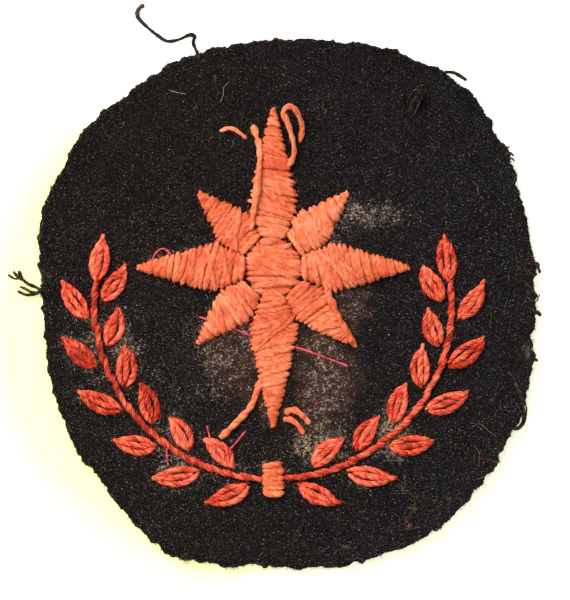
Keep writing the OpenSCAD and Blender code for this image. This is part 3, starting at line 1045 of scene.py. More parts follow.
def satin(form, middle, lean, lift, pitch, rng):
    """Stitches that cross a shape, with their middles at given distances along it: each follows the
    arch from edge to edge, sheared by its lean. Gives paths, half widths, half heights, the
    direction of the widths, and tones."""
    length = form["along"][-1]
    count = len(middle)
    half = read(form, "half", middle)
    pitch = pitch * slimness(half)[:, None]
    t = np.linspace(-1, 1, STITCH_RINGS)
    across, up = arch(t)
    over = 1 + rng.normal(ENDS_PAST, ENDS_SPREAD, (count, 2))
    over = np.where(across < 0, over[:, :1], over[:, 1:]) + np.where(half < 1, 0.05, 0)[:, None]
    bend = rng.normal(0, BEND_SPREAD, (count, 1)) * (1 - across**2)
    s = middle[:, None] + lean[:, None] * across + bend
    inside = np.clip(s, 0.05, length - 0.05)
    wide = np.maximum(read(form, "half", inside), 0.3) * over
    spot = read(form, "mid", inside) + (across * wide)[..., None] * read(form, "across", inside)
    rise = read(form, "rise", inside) * (1 + rng.normal(0, HEIGHT_SPREAD, (count, 1))) + lift
    ground = face_high(spot[..., 0], spot[..., 1])
    fullness = 1 - np.abs(across) ** 5
    half_wide = pitch * (0.30 + 0.38 * fullness) * (1 + rng.normal(0, WIDTH_SPREAD, (count, 1)))
    half_tall = pitch * (0.22 + 0.08 * fullness)
    high = np.where(up > 0, ground + (rise - half_tall) * np.maximum(up, 0), ground + up)
    path = np.concatenate([spot, high[..., None]], -1)
    lateral = np.column_stack([read(form, "forward", middle), np.zeros(count)])
    blotch = patchy(spot[:, STITCH_RINGS // 2, 0], spot[:, STITCH_RINGS // 2, 1], FADED_SIZE, 61)
    tones = SATIN_TONE + FADED_BY * (blotch - 0.5) + rng.normal(0, TONE_SPREAD, count)
    return path, half_wide, half_tall, lateral, tones


print("height of the arch halfway to an edge", round(float(arch(0.5)[1]), 2))

# %% [markdown]
# Close up, a strand of floss shows single fibres on its upper side. The material's streaks
# hint at them, but they lie flat, so the boldest ones are made as thin cords of three
# sides that wind along with the twist and stand a little proud of the strand, each in a
# tone of its own. Two more parts complete a shape: the cotton bed, whose low tone is
# painted shade in the grooves between the stitches, and the back, with one plain strand
# for each stitch.

# %% Fibres, bed and back
FIBRES_EACH = 14
FIBRE_RINGS = 7
FIBRE_SIDES = 3
SATIN_FIBRE = 0.045
PADDING_SUNK = 0.22
# Painted shade: the bed's tone is lower than the floss's, so the grooves between stitches look dark
PADDING_SHADE_TONE = 0.25
BACK_PITCH = 1.1


def fibre_part(path, wide, tall, lateral, tones, each, radius, turn, rng):
    """Single fibres on the upper sides of cords. Each winds along with the twist over a short stretch,
    and its places are read between the cord's rings."""
    count, rings, _ = path.shape
    _, side, top = directions(path, lateral)
    which = np.repeat(np.arange(count), each)
    number = len(which)
    middle = rng.uniform(0.2, 0.8, (number, 1))
    reach = np.minimum(rng.uniform(0.10, 0.28, (number, 1)), np.minimum(middle, 1 - middle) - 0.06)
    t = np.linspace(-1, 1, FIBRE_RINGS)
    place = (middle + reach * t) * (rings - 1)
    row = np.minimum(place.astype(int), rings - 2)
    share = (place - row)[..., None]

    def at(values):
        """Values read between a cord's rings, at each place of each fibre."""
        return values[which[:, None], row] * (1 - share) + values[which[:, None], row + 1] * share

    length = np.linalg.norm(np.diff(path, axis=1), axis=2).sum(1)[which, None]
    wound = (place / (rings - 1) - middle) * length * 2 * np.pi / turn
    angle = rng.uniform(0.15, 0.85, (number, 1)) * np.pi + wound
    wide = at(np.broadcast_to(wide, (count, rings))[..., None])[..., 0]
    tall = at(np.broadcast_to(tall, (count, rings))[..., None])[..., 0]
    proud = 0.96 + 0.12 * rng.random((number, 1))
    route = at(path) + at(side) * (wide * proud * np.cos(angle))[..., None]
    route = route + at(top) * (tall * proud * np.sin(angle))[..., None]
    thick = radius * rng.uniform(0.6, 1.3, (number, 1)) * (1 - 0.6 * np.abs(t) ** 3)
    shades = tones[which] + rng.normal(0.06, 0.42, number)
    return thread_part(route, thick, thick, shades, FIBRE_SIDES, rng)


def padding_part(form):
    """The bed under the stitches: the shape's own arch, lower and narrower, closed below. Its low tone is
    painted shade.
    """
    s = np.linspace(0.15, form["along"][-1] - 0.15, 40)
    lean = np.linspace(-1, 1, 13) * np.pi / 2
    arch_across = 0.93 * np.sign(lean) * np.abs(np.sin(lean)) ** 0.85
    arch_up = 0.90 * np.maximum(np.cos(lean), 0) ** 0.6
    across = np.concatenate([[-0.9], arch_across, [0.9]])
    up = np.concatenate([[-0.3], arch_up, [-0.3]])
    spot = places(form, s, across)
    high = face_high(spot[..., 0], spot[..., 1]) + (read(form, "rise", s)[:, None] - PADDING_SUNK) * up
    points = np.concatenate([spot, high[..., None]], -1)
    rows, columns = points.shape[:2]
    ends = np.arange(columns)[None]
    strand = np.stack([points[..., 1] * 2, points[..., 0] * 0.2, points[..., 2] * 0.2], -1)
    extra = {"strand": strand.reshape(-1, 3), "tone": np.full(rows * columns, PADDING_SHADE_TONE)}
    walls = grid_faces(rows, columns)[:, ::-1]
    return points.reshape(-1, 3), [walls, ends, ends[:, ::-1] + (rows - 1) * columns], extra


def back_part(form, pitch, rng):
    """Plain threads on the back: one flat strand for each stitch, lying in the hollow of the cloth."""
    length = form["along"][-1]
    count = max(2, round(length / pitch))
    middle = (np.arange(count) + 0.5) * length / count
    across = np.linspace(-0.92, 0.92, 5)
    spot = places(form, middle, across)
    spot = spot + read(form, "forward", middle)[:, None] * rng.normal(0, 0.12, (count, 1, 1))
    high = np.broadcast_to(0.17 + 0.25 * across**8, spot.shape[:2])
    path = np.concatenate([spot, high[..., None]], -1)
    return thread_part(path, 0.15, 0.13, rng.uniform(0.2, 0.7, count), 5, rng)


print("points of the hub's bed", len(padding_part(hub)[0]))

# %% [markdown]
# A shape is filled by stepping along its middle line. Equal steps would leave coarse
# stitches at a point, so the step and the strand both shrink where the shape narrows. The
# stitches slant one way or the other from shape to shape, less near its ends, and here and
# there a later stitch lies aslant on top. Hub and tie are worked in the same way as the
# rays.

# %% The star and the tie in satin
PLACE_SPREAD = 0.10
LEAN_SPREAD = 0.13
LIFT_SPREAD = 0.03
# Late stitches: how far they stand above the others, how wide they are beside them, by how much
# they slant the other way or further, and the least half width of the shape under them
LATE_LIFT = 0.16
LATE_NARROWER = 0.8
LATE_SLANTS = [-0.45, 0.4]
LATE_FROM = 1.3


def worked_shape(form, pitch, slant, loose, rng):
    """A shape filled with stitches, with a few later ones aslant on top, its bed, its back and its fibres.
    Places follow each other by the pitch, which shrinks with the shape's width."""
    length = form["along"][-1]
    fine = np.linspace(0, length, 400)
    filled = np.cumsum(length / len(fine) / (pitch * slimness(read(form, "half", fine))))
    count = max(2, round(filled[-1]))
    middle = np.interp((np.arange(count) + 0.5) / count * filled[-1], filled, fine)
    half = read(form, "half", middle)
    moved = rng.normal(0, PLACE_SPREAD * pitch, count) * slimness(half)
    middle = np.clip(middle + moved, 0.1, length - 0.1)
    fade = np.clip(np.minimum(middle, length - middle) / np.maximum(half, 0.5), 0, 1)
    lean = math.tan(slant) * half * fade + rng.normal(0, LEAN_SPREAD, count)
    rows = satin(form, middle, lean, rng.normal(0, LIFT_SPREAD, (count, 1)), pitch, rng)
    wide_places = middle[(half > LATE_FROM) & (fade > 0.6)]
    late = rng.choice(wide_places, min(loose, len(wide_places)), replace=False)
    late_lean = math.tan(slant + rng.choice(LATE_SLANTS)) * read(form, "half", late)
    over = satin(form, late, late_lean, LATE_LIFT, pitch * LATE_NARROWER, rng)
    parts = [padding_part(form), back_part(form, BACK_PITCH, rng)]
    for path, wide, tall, lateral, tones in (rows, over):
        twist = {"plies": FLOSS_PLIES, "dip": FLOSS_DIP, "turn": FLOSS_TURN, "lateral": lateral}
        parts.append(thread_part(path, wide, tall, tones, STITCH_SIDES, rng, **twist))
        fibres = fibre_part(path, wide, tall, lateral, tones, FIBRES_EACH, SATIN_FIBRE, FLOSS_TURN, rng)
        parts.append(fibres)
    return joined(parts)


# Pitch in mm, slant in degrees, and how many later stitches lie on top
SATIN_WORK = {"long": (0.63, 14, 2), "slanting": (0.60, 10, 1), "hub": (0.62, 5, 2)}
rng = np.random.default_rng(7)
satin_faces = 0
for i, (name, form) in enumerate({**rays, "star_hub": hub, "spray_tie": tie}.items()):
    kind = "hub" if name in ("star_hub", "spray_tie") else ("slanting" if name.count("_") == 2 else "long")
    pitch, slant, loose = SATIN_WORK[kind]
    points, faces, extra = worked_shape(form, pitch, math.radians(slant if i % 3 else -slant), loose, rng)
    piece = add_piece("stitches_" + name, points, faces, satin_look, extra)
    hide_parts(name)
    satin_faces += len(piece.data.polygons)
print("satin faces", satin_faces)

# %% [markdown]
# The leaves are not satin but a few long stitches of thick coral cotton side by side: one
# along each edge and one down the middle, each a cord of two soft plies with rounded ends.
# One carved spindle could stand for a leaf, but three cords give the ends that step in
# and out, as in the picture. The stems are short overlapping stitches of the same cotton,
# each starting beside the middle of the last.

# %% Leaves and stems in twisted cotton
COTTON_PLIES = 2
COTTON_DIP = 0.34
COTTON_TURN = 2.9
COTTON_HALF = 0.39
COTTON_SIDES = 18
COTTON_SUNK = 0.42
COTTON_FLAT = 0.86
COTTON_FIBRE = 0.04
# How uneven the hand is: starts and ends as shares of the length, places and heights in mm, and
# thickness as a share
START_SPREAD = 0.02
END_SPREAD = 0.035
ASIDE_SPREAD = 0.05
ASLANT_SPREAD = 0.08
RISE_SPREAD = 0.03
THICK_SPREAD = 0.05
# Tone of the cotton: its middle, how much blotches of a size in mm shift it, and its spread
COTTON_TONE = 0.45
COTTON_FADED_BY = 0.35
COTTON_FADED_SIZE = 6.0
COTTON_TONE_SPREAD = 0.11
LEAF_RINGS = 26
STEM_RINGS = 16
STEM_STEP = 2.2
STEM_STITCH = 3.4
STEM_HALF = 0.34
STEM_SUNK = 0.4
STEM_ASIDE = 0.20
COTTON_BACK_PITCH = 2.2
# Side of the leaf, where the stitch starts and ends as shares of the length, and its height
LEAF_STITCHES = [(-1, 0.03, 0.95, 0.24), (1, 0.00, 0.91, 0.24), (0, 0.08, 0.98, 0.38)]


def leaf_rows(form, rng):
    """Three stitches that fill a leaf: two that follow its edges, and one between them, a little higher."""
    length = form["along"][-1]
    t = np.linspace(0, 1, LEAF_RINGS)
    ends = np.minimum(t, 1 - t)
    hump = np.sin(np.clip(ends / 0.13, 0, 1) * np.pi / 2)
    rounded = 0.46 + 0.54 * np.clip(ends / 0.2, 0, 1) ** 0.7
    paths = []
    halves = []
    for edge, first, last, lift in LEAF_STITCHES:
        first = first + rng.normal(0, START_SPREAD)
        last = last + rng.normal(0, END_SPREAD)
        s = (first + (last - first) * t) * length
        inside = np.clip(s, 0, length)
        offset = edge * np.maximum(read(form, "half", inside) - COTTON_HALF * 0.85, 0.10)
        offset = offset + rng.normal(0, ASIDE_SPREAD) + rng.normal(0, ASLANT_SPREAD) * (t - 0.5)
        spot = read(form, "mid", inside) + offset[:, None] * read(form, "across", inside)
        spot = spot + (s - inside)[:, None] * read(form, "forward", inside)
        rise = (COTTON_SUNK + lift + rng.normal(0, RISE_SPREAD)) * hump
        high = face_high(spot[:, 0], spot[:, 1]) - COTTON_SUNK + rise
        paths.append(np.column_stack([spot, high]))
        halves.append(COTTON_HALF * rounded * (1 + rng.normal(0, THICK_SPREAD)))
    return np.array(paths), np.array(halves)


def stem_rows(form, rng):
    """Short stitches along a stem, each crossing from one side of it to the other and lying on the last."""
    length = form["along"][-1]
    first = np.arange(-0.4, length - 1.2, STEM_STEP)
    t = np.linspace(0, 1, STEM_RINGS)
    s = np.clip(first[:, None] + STEM_STITCH * t + rng.normal(0, 0.12, (len(first), 1)), 0, length)
    beside = STEM_ASIDE * (1 - 2 * t) + rng.normal(0, ASIDE_SPREAD, (len(first), 1))
    spot = read(form, "mid", s) + beside[..., None] * read(form, "across", s)
    hump = np.sin(np.clip(np.minimum(t, 1 - t) / 0.2, 0, 1) * np.pi / 2)
    high = face_high(spot[..., 0], spot[..., 1]) - STEM_SUNK + (0.66 + 0.12 * t) * hump
    half = STEM_HALF * (0.7 + 0.3 * hump)[None].repeat(len(first), 0)
    return np.concatenate([spot, high[..., None]], -1), half


rng = np.random.default_rng(11)
leaf_faces = 0
for name, form in {**leaves, **stems}.items():
    path, half = leaf_rows(form, rng) if name in leaves else stem_rows(form, rng)
    way = path[:, -1] - path[:, 0]
    lateral = unit(np.column_stack([-way[:, 1], way[:, 0], np.zeros(len(way))]))
    blotch = patchy(form["mid"][:1, 0], form["mid"][:1, 1], COTTON_FADED_SIZE, 71)[0]
    tones = COTTON_TONE + COTTON_FADED_BY * (blotch - 0.5) + rng.normal(0, COTTON_TONE_SPREAD, len(path))
    twist = {"plies": COTTON_PLIES, "dip": COTTON_DIP, "turn": COTTON_TURN, "lateral": lateral}
    tall = half * COTTON_FLAT
    cotton = thread_part(path, half, tall, tones, COTTON_SIDES, rng, **twist)
    fibres = fibre_part(path, half, tall, lateral, tones, FIBRES_EACH, COTTON_FIBRE, COTTON_TURN, rng)
    points, faces, extra = joined([cotton, fibres, back_part(form, COTTON_BACK_PITCH, rng)])
    piece = add_piece("stitches_" + name, points, faces, coral_look, extra)
    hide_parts(name)
    leaf_faces += len(piece.data.polygons)
print("leaf and stem faces", leaf_faces)

# %% [markdown]
# Years of wear show in what has come loose: orange floss on the star, a fine magenta
# tacking thread here and there, and black threads at the cut edge. A simulation could drop
# them on the patch, but they would not come to rest where the picture has them. So each
# runs through a few listed places, smoothed into a curve, and lies on whatever is under
# it. Its thickness wanders, as that of a thread does that has untwisted.

# %% Laying a loose thread
THREAD_SIDES = 12
THINNEST = 0.7
THICKEST = 1.3


def smooth_route(stops, rings):
    """A curve through a few stops, by the same cubic as the round table, but open at both ends,
    where the first and last steps are repeated."""
    stops = np.asarray(stops, float)
    padded = np.vstack([2 * stops[0] - stops[1], stops, 2 * stops[-1] - stops[-2]])
    place = np.linspace(0, len(stops) - 1, rings)
    row = np.minimum(place.astype(int), len(stops) - 2)
    return cubic([padded[row + k] for k in range(4)], (place - row)[:, None])


def ground_high(x, y, over):
    """What a loose thread lies on: the cloth, with its stitches if it is over them, or the table.
    The height eases from one to the other within 0.6 mm of the cut edge."""
    angle, radius = to_polar(x, y)
    inset = cut_radius(angle) - radius
    top = face_high(x, y) + (map_at(smooth_high, x, y) if over else 0)
    return top * eased(np.clip((inset + 0.5) / 0.6, 0, 1))


def add_threads(name, routes, look, rng, turn, over=True, rings=52):
    """One piece from several loose threads. Each lies on the running mean of what is under it, at the
    height that its stops give, and its thickness wanders. None dips under the table."""
    parts = []
    t = np.linspace(0, 1, rings)
    for radius, tone, stops in routes:
        route = smooth_route(stops, rings)
        ground = ground_high(route[:, 0], route[:, 1], over)
        settled = np.convolve(np.pad(ground, 3, mode="edge"), np.ones(7) / 7, "valid")
        high = np.maximum(settled, ground * 0.85) + route[:, 2] + radius * 0.8
        path = np.column_stack([route[:, :2], np.maximum(high, radius * THICKEST)])[None]
        uneven = THINNEST + (THICKEST - THINNEST) * patchy(route[:, 0], route[:, 1], 0.6, 91)
        thick = radius * uneven * (0.5 + 0.5 * np.clip(np.minimum(t, 1 - t) / 0.05, 0, 1))
        twist = {"plies": 2, "dip": 0.26, "turn": turn}
        parts.append(thread_part(path, thick, thick, np.array([tone]), THREAD_SIDES, rng, **twist))
    points, faces, extra = joined(parts)
    add_piece(name, points, faces, look, extra)
    print(name, len(routes), "threads")


print("cloth under a thread at its middle", round(float(ground_high(0.0, 0.0, False)), 2), "mm")

# %% [markdown]
# Long floats and tails of orange floss lie over the star, and a loop stands up at its top.
# They are the floss of the stitches, pulled out, so they have its material, but nothing
# presses them flat: they are round, and twisted a little harder. Where the height at an
# end is below nought, the thread goes in among the stitches.

# %% Loose orange floss
ORANGE_ROUTES = [
    # radius, tone, stops of x, y and height over what is below
    (0.43, 0.62, [(-4.3, 22.8, -0.3), (-3.9, 21.6, 0.1), (-3.4, 19.4, 0.15), (-3.7, 15.0, 0.1),
                  (-4.3, 11.2, 0.05), (-4.5, 9.4, -0.4)]),
    (0.37, 0.58, [(0.1, 17.2, -0.3), (1.0, 19.4, 0.6), (0.3, 22.6, 1.6), (-0.4, 24.3, 2.0),
                  (0.2, 25.1, 2.0), (1.2, 24.6, 1.5), (2.0, 22.6, 0.4), (1.7, 20.6, -0.1)]),
    (0.33, 0.66, [(-8.5, 22.0, -0.3), (-7.6, 22.35, 0.05), (-6.8, 22.3, 0.1), (-6.0, 21.8, 0.05),
                  (-5.1, 21.1, -0.3)]),
    (0.47, 0.42, [(5.0, 2.2, -0.3), (5.6, 0.6, 0.05), (6.6, -1.6, 0.05), (7.9, -4.0, 0.05),
                  (8.9, -5.6, -0.3)]),
    (0.50, 0.60, [(-3.3, -9.6, -0.2), (-3.9, -11.6, 0.1), (-4.6, -13.2, 0.1), (-6.0, -14.8, 0.05),
                  (-7.4, -16.2, 0.1), (-8.5, -17.2, 0.0)]),
    (0.42, 0.55, [(-0.2, -14.0, -0.2), (0.8, -13.6, 0.1), (1.9, -14.2, 0.1), (3.0, -15.4, -0.3)]),
    (0.38, 0.48, [(-0.4, -14.8, -0.2), (0.6, -14.9, 0.1), (1.5, -15.6, 0.05), (2.2, -16.7, -0.3)]),
]
rng = np.random.default_rng(23)
add_threads("loose_floss", ORANGE_ROUTES, satin_look, rng, turn=3.0)

# %% [markdown]
# The fine magenta tacking thread was there before the stitches, so it lies on the cloth
# and under them. Its routes could be cut wherever a stitch hides them, but a real thread
# runs on, and so do these.

# %% Tacking thread
MAGENTA_ROUTES = [
    # radius, tone, stops of x, y and height over what is below
    (0.13, 0.5, [(-11.2, -1.7, -0.1), (-9.4, -2.3, 0.05), (-6.8, -3.2, 0.05), (-4.4, -4.2, 0.0),
                 (-1.8, -5.0, 0.0), (1.2, -5.6, 0.0), (4.4, -6.7, 0.05), (7.3, -7.8, 0.0),
                 (7.9, -8.1, -0.3)]),
    (0.13, 0.5, [(-10.2, -15.6, -0.1), (-9.6, -17.6, 0.05), (-8.3, -19.2, 0.1), (-7.0, -18.4, 0.1),
                 (-5.2, -16.3, -0.1)]),
    (0.13, 0.5, [(-17.4, 4.9, 0.0), (-16.8, 6.3, 0.1), (-15.9, 7.0, 0.2), (-15.0, 6.5, 0.2),
                 (-14.5, 5.4, 0.0)]),
    (0.13, 0.5, [(-15.2, -18.0, -0.1), (-15.3, -19.4, 0.1), (-15.1, -20.8, -0.1)]),
    (0.12, 0.5, [(-9.4, 7.4, 0.0), (-8.6, 8.4, 0.1), (-7.6, 8.6, 0.0), (-6.9, 7.9, 0.0)]),
]
add_threads("tacking_thread", MAGENTA_ROUTES, magenta_look, rng, over=False, turn=1.0)

# %% [markdown]
# Ends of black sewing thread hang from the cut edge, perhaps from when the patch was sewn
# on: a long one at the top left with a thicker, paler tip, a tuft at the left, a loop at
# the lower right, and short bits between them. One thread could not show how the tuft and
# the loop part, so they are several that run side by side for a while. Beyond the cloth
# the threads sink to the table.

# %% Black threads
BLACK_ROUTES = [
    # radius, tone, stops of x, y and height over what is below
    (0.24, 0.40, [(-11.1, 31.0, -0.5), (-11.35, 31.9, 0.0), (-11.8, 32.9, 0.1), (-11.95, 33.5, 0.3),
                  (-11.75, 34.2, 0.3), (-11.95, 34.4, 0.3), (-12.6, 34.35, 0.4), (-13.8, 33.8, 0.4),
                  (-15.3, 33.6, 0.5), (-16.6, 34.4, 0.6), (-17.9, 35.45, 0.3), (-19.0, 36.6, 0.0),
                  (-19.1, 37.2, 0.0)]),
    (0.30, 0.92, [(-19.15, 36.9, 0.0), (-19.1, 37.4, 0.0), (-18.8, 37.9, 0.0), (-18.4, 38.15, 0.0),
                  (-18.2, 38.2, 0.0)]),
    (0.26, 0.42, [(-30.6, 1.5, -0.5), (-31.3, 1.7, 0.0), (-32.1, 2.1, 0.4), (-33.1, 2.5, 0.5),
                  (-33.8, 3.1, 0.3), (-34.1, 3.6, 0.2), (-34.3, 4.2, 0.1)]),
    (0.21, 0.60, [(-32.6, 2.3, 0.4), (-33.3, 2.7, 0.5), (-34.3, 3.3, 0.3), (-34.7, 3.7, 0.2),
                  (-35.0, 4.1, 0.1)]),
    (0.19, 0.75, [(-33.6, 2.9, 0.3), (-34.3, 3.2, 0.2), (-34.9, 3.2, 0.1), (-35.7, 3.7, 0.1)]),
    (0.24, 0.50, [(-30.6, 1.7, -0.5), (-31.3, 1.6, 0.0), (-32.1, 1.3, 0.3), (-33.3, 1.1, 0.3),
                  (-34.5, 1.6, 0.1)]),
    (0.20, 0.60, [(-32.2, 1.4, 0.3), (-32.7, 1.45, 0.4), (-33.5, 1.9, 0.3), (-34.2, 2.15, 0.1)]),
    (0.25, 0.30, [(19.8, 29.3, -0.7), (20.5, 29.6, -0.4), (21.4, 29.6, 0.0), (22.2, 29.2, 0.1),
                  (23.1, 28.6, 0.0)]),
    (0.13, 0.6, [(27.6, 18.9, -0.6), (28.3, 19.1, 0.0), (28.7, 19.2, 0.3), (29.1, 18.9, 0.3)]),
    (0.13, 0.5, [(27.7, 18.3, -0.6), (28.4, 18.5, 0.0), (28.8, 18.5, 0.3), (29.2, 18.2, 0.2)]),
    (0.30, 0.30, [(30.8, 5.1, -0.8), (31.5, 5.1, -0.2), (32.0, 5.1, 0.2), (32.3, 4.8, 0.3)]),
    (0.20, 0.30, [(31.6, 5.0, 0.3), (32.1, 4.8, 0.3), (32.35, 4.4, 0.2), (32.5, 3.9, 0.1)]),
    (0.10, 0.60, [(30.6, 2.6, -0.1), (31.3, 1.9, 0.1), (31.9, 1.2, 0.4), (32.1, 0.5, 0.3),
                  (31.6, 0.2, 0.0), (31.0, 0.5, -0.2)]),
    (0.09, 0.60, [(30.8, 1.8, -0.1), (31.6, 1.3, 0.2), (32.2, 0.9, 0.4), (32.4, 1.2, 0.3)]),
    (0.24, 0.32, [(30.9, -0.6, -0.8), (31.6, -0.9, -0.1), (32.1, -1.2, 0.2), (32.5, -1.5, 0.2)]),
    (0.26, 0.32, [(30.5, -5.8, -0.8), (31.2, -6.1, -0.1), (31.6, -6.5, 0.2), (31.5, -6.9, 0.1)]),
    (0.26, 0.32, [(30.4, -6.8, -0.8), (31.2, -6.9, 0.0), (31.7, -7.1, 0.1), (32.0, -7.3, 0.1)]),
    (0.13, 0.42, [(28.2, -8.4, -0.2), (29.0, -9.4, 0.0), (29.7, -10.8, 0.1), (30.3, -12.2, 0.3),
                  (30.7, -13.6, 0.4), (30.5, -15.2, 0.4), (29.8, -16.0, 0.3), (28.9, -16.1, 0.2)]),
    (0.19, 0.4, [(29.0, -9.8, -0.5), (29.8, -11.4, 0.1), (30.2, -12.6, 0.5), (30.3, -13.6, 0.5),
                 (30.4, -14.8, 0.4), (29.9, -15.7, 0.2), (29.0, -16.0, 0.2), (28.2, -15.9, -0.4)]),
    (0.11, 0.55, [(28.6, -12.0, -0.1), (29.4, -12.9, 0.3), (30.0, -13.9, 0.4), (30.2, -15.1, 0.1)]),
    (0.12, 0.5, [(18.3, -27.7, -0.1), (18.6, -28.8, 0.3), (19.3, -28.9, 0.3), (19.4, -28.1, 0.1)]),
    (0.11, 0.6, [(25.8, -19.7, -0.4), (26.5, -20.2, 0.2), (27.2, -20.2, 0.4)]),
    (0.10, 0.66, [(15.5, 24.3, 0.1), (15.9, 25.3, 0.5), (16.5, 26.3, 0.7), (17.2, 27.4, 0.3)]),
    (0.09, 0.70, [(16.3, 24.1, 0.1), (16.8, 25.2, 0.5), (17.2, 26.3, 0.6), (17.9, 27.3, 0.2)]),
    (0.08, 0.62, [(15.4, 25.6, 0.1), (15.8, 26.6, 0.4), (16.6, 27.5, 0.5), (17.6, 28.0, 0.2)]),
]
add_threads("black_threads", BLACK_ROUTES, black_look, rng, turn=1.2)

# %% [markdown]
# Felt is covered with short crimped hairs, most as dark as the cloth, a few pale or
# reddish. Each is a thin closed cord of three sides that narrows as it goes, bent by its
# own curl, and thousands of them make one mesh. A hair system would also grow them, but
# these have a known count and look the same each time. The same function will make the
# fuzz along the cut edge and the flyaway fibres of the threads.

# %% Hairs
HAIR_SIDES = 3
HAIR_TRIES = 17500
EDGE_HAIRS = 8000
# Share of the felt's hairs that are pale, and above this Y, where the cloth is cleaner
PALE_SHARE = 0.06
CLEANER_SHARE = 0.035
CLEANER_FROM = 12
PALE_HAIRS = [(0.18, 0.155, 0.145), (0.11, 0.094, 0.084), (0.16, 0.038, 0.024)]
DARK_HAIRS = [(0.007, 0.006, 0.006), (0.018, 0.0145, 0.013), (0.045, 0.036, 0.029)]
EDGE_TINTS = [(0.009, 0.007, 0.007), (0.040, 0.024, 0.021), (0.13, 0.075, 0.060)]


def hairs(root, heading, length, curl, width, climb, start_high, rings):
    """Curled three-sided hairs: each runs on by a heading that turns by its curl, and climbs as half a
    sine. Its section is a triangle, whose width falls as the square of the way along it."""
    t = np.linspace(0, 1, rings)
    bearing = heading[:, None] + curl[:, None] * t + 0.5 * np.sin(5 * t + heading[:, None] * 3)
    step = length[:, None] / (rings - 1)
    dx = np.cos(bearing) * step
    dy = np.sin(bearing) * step
    x = root[:, :1] + np.cumsum(dx, 1) - dx[:, :1]
    y = root[:, 1:2] + np.cumsum(dy, 1) - dy[:, :1]
    z = start_high[:, None] + climb[:, None] * np.sin(np.pi * t)
    half = width[:, None] / 2 * (1 - 0.8 * t**2)
    edge = np.stack([-np.sin(bearing), np.cos(bearing), np.zeros_like(bearing)], -1) * half[..., None]
    up = np.stack([np.zeros_like(half), np.zeros_like(half), half], -1)
    middle = np.stack([x, y, z], -1)
    points = np.stack([middle + edge, middle + up, middle - edge], 2)
    first = np.arange(len(root))[:, None] * rings * HAIR_SIDES
    walls = grid_faces(rings, HAIR_SIDES)[None] + first[:, :, None]
    last = first + (rings - 1) * HAIR_SIDES
    ends = np.concatenate([first + [[2, 1, 0]], last + [[0, 1, 2]]])
    return points.reshape(-1, 3), [walls.reshape(-1, 4), ends]


def pick_tints(count, rng, tints, shares):
    """A colour for each hair or crumb, from a short list with shares, varied in brightness."""
    chosen = rng.choice(len(tints), count, p=np.array(shares) / np.sum(shares))
    colour = np.array(tints)[chosen] * rng.lognormal(0, 0.3, (count, 1))
    return np.column_stack([np.clip(colour, 0, 1), np.ones(count)])


def scattered(count, rng, keep):
    """Random places on the cloth's face, a little inside its ragged edge. Each is kept by the chance
    that keep gives for it."""
    x = rng.uniform(-CLOTH_W / 2, CLOTH_W / 2, count)
    y = rng.uniform(-CLOTH_H / 2, CLOTH_H / 2, count)
    angle, radius = to_polar(x, y)
    inside = radius < cut_radius(angle) + np.minimum(ragged(angle, 0), -0.2) - 0.1
    kept = inside & (rng.random(count) < keep(x, y))
    return np.column_stack([x[kept], y[kept]])


def add_hairs(name, root, heading, length, curl, width, climb, start_high, tint, rings=3):
    """A piece of many hairs with a colour for each."""
    points, faces = hairs(root, heading, length, curl, width, climb, start_high, rings)
    tint = np.repeat(tint, rings * HAIR_SIDES, 0)
    add_piece(name, points, faces, hair_look, {"tint": tint})
    print(name, len(root), "hairs")


def on_bare_felt(x, y):
    """Chance of a hair: none under stitches, and patchy elsewhere."""
    return (1 - map_at(covered, x, y)) * (0.55 + 0.45 * patchy(x, y, 2.2, 81))


rng = np.random.default_rng(37)
root = scattered(HAIR_TRIES, rng, on_bare_felt)
count = len(root)
start_high = felt_high(root[:, 0], root[:, 1]) + 0.01
pale = rng.random(count) < np.where(root[:, 1] > CLEANER_FROM, CLEANER_SHARE, PALE_SHARE)
pale_tint = pick_tints(count, rng, PALE_HAIRS, [0.48, 0.45, 0.07])
dark_tint = pick_tints(count, rng, DARK_HAIRS, [0.50, 0.33, 0.17])
tint = np.where(pale[:, None], pale_tint, dark_tint)
heading = rng.uniform(0, 2 * np.pi, count)
length = np.where(pale, 1.3, 1.0) * rng.uniform(0.25, 1.0, count)
curl = rng.normal(0, 1.6, count)
width = rng.uniform(0.03, 0.06, count)
climb = rng.uniform(0.01, 0.12, count)
add_hairs("wool_hairs", root, heading, length, curl, width, climb, start_high, tint)

# %% [markdown]
# Scissors leave the hairs of the cut edge standing outwards, and these show best against
# the pale table. A hair system on the whole cloth would not know its edge, so these have
# their own roots: a little inside the ragged edge, at any height of its side.

# %% Fuzz of the cut edge
count = EDGE_HAIRS
angle = rng.uniform(0, 2 * np.pi, count)
root = from_polar(angle, cut_radius(angle) - 0.25 + ragged(angle, 2))
outward = np.arctan2(root[:, 1], root[:, 0]) + rng.normal(0, 0.8, count)
start_high = rim_lift(angle, 0) + rng.uniform(0.15, CLOTH_THICK - 0.05, count)
tint = pick_tints(count, rng, EDGE_TINTS, [0.44, 0.34, 0.22])
length = rng.uniform(0.2, 0.9, count) * rng.uniform(0.4, 1, count)
curl = rng.normal(0, 1.8, count)
width = rng.uniform(0.04, 0.09, count)
climb = rng.uniform(-0.05, 0.15, count)
add_hairs("edge_fuzz", root, outward, length, curl, width, climb, start_high, tint)

# %% [markdown]
# Old cotton frays, so single fibres stand off the stitches. The material's sheen softens
# the cotton as a whole but draws no fibre, so the same hairs are used again, in the
# colours of the thread they come from, scattered over a map of each kind of stitching.

# %% Fuzz of the threads
satin_cells = np.zeros((CELLS, CELLS))
leaf_cells = np.zeros((CELLS, CELLS))
q = np.linspace(-1.08, 1.08, 61)
for name, form in every_shape.items():
    spot = places(form, np.linspace(0, form["along"][-1], 300), q)
    cells = leaf_cells if name in leaves or name in stems else satin_cells
    cells[cell_of(spot[..., 0], spot[..., 1])] = 1

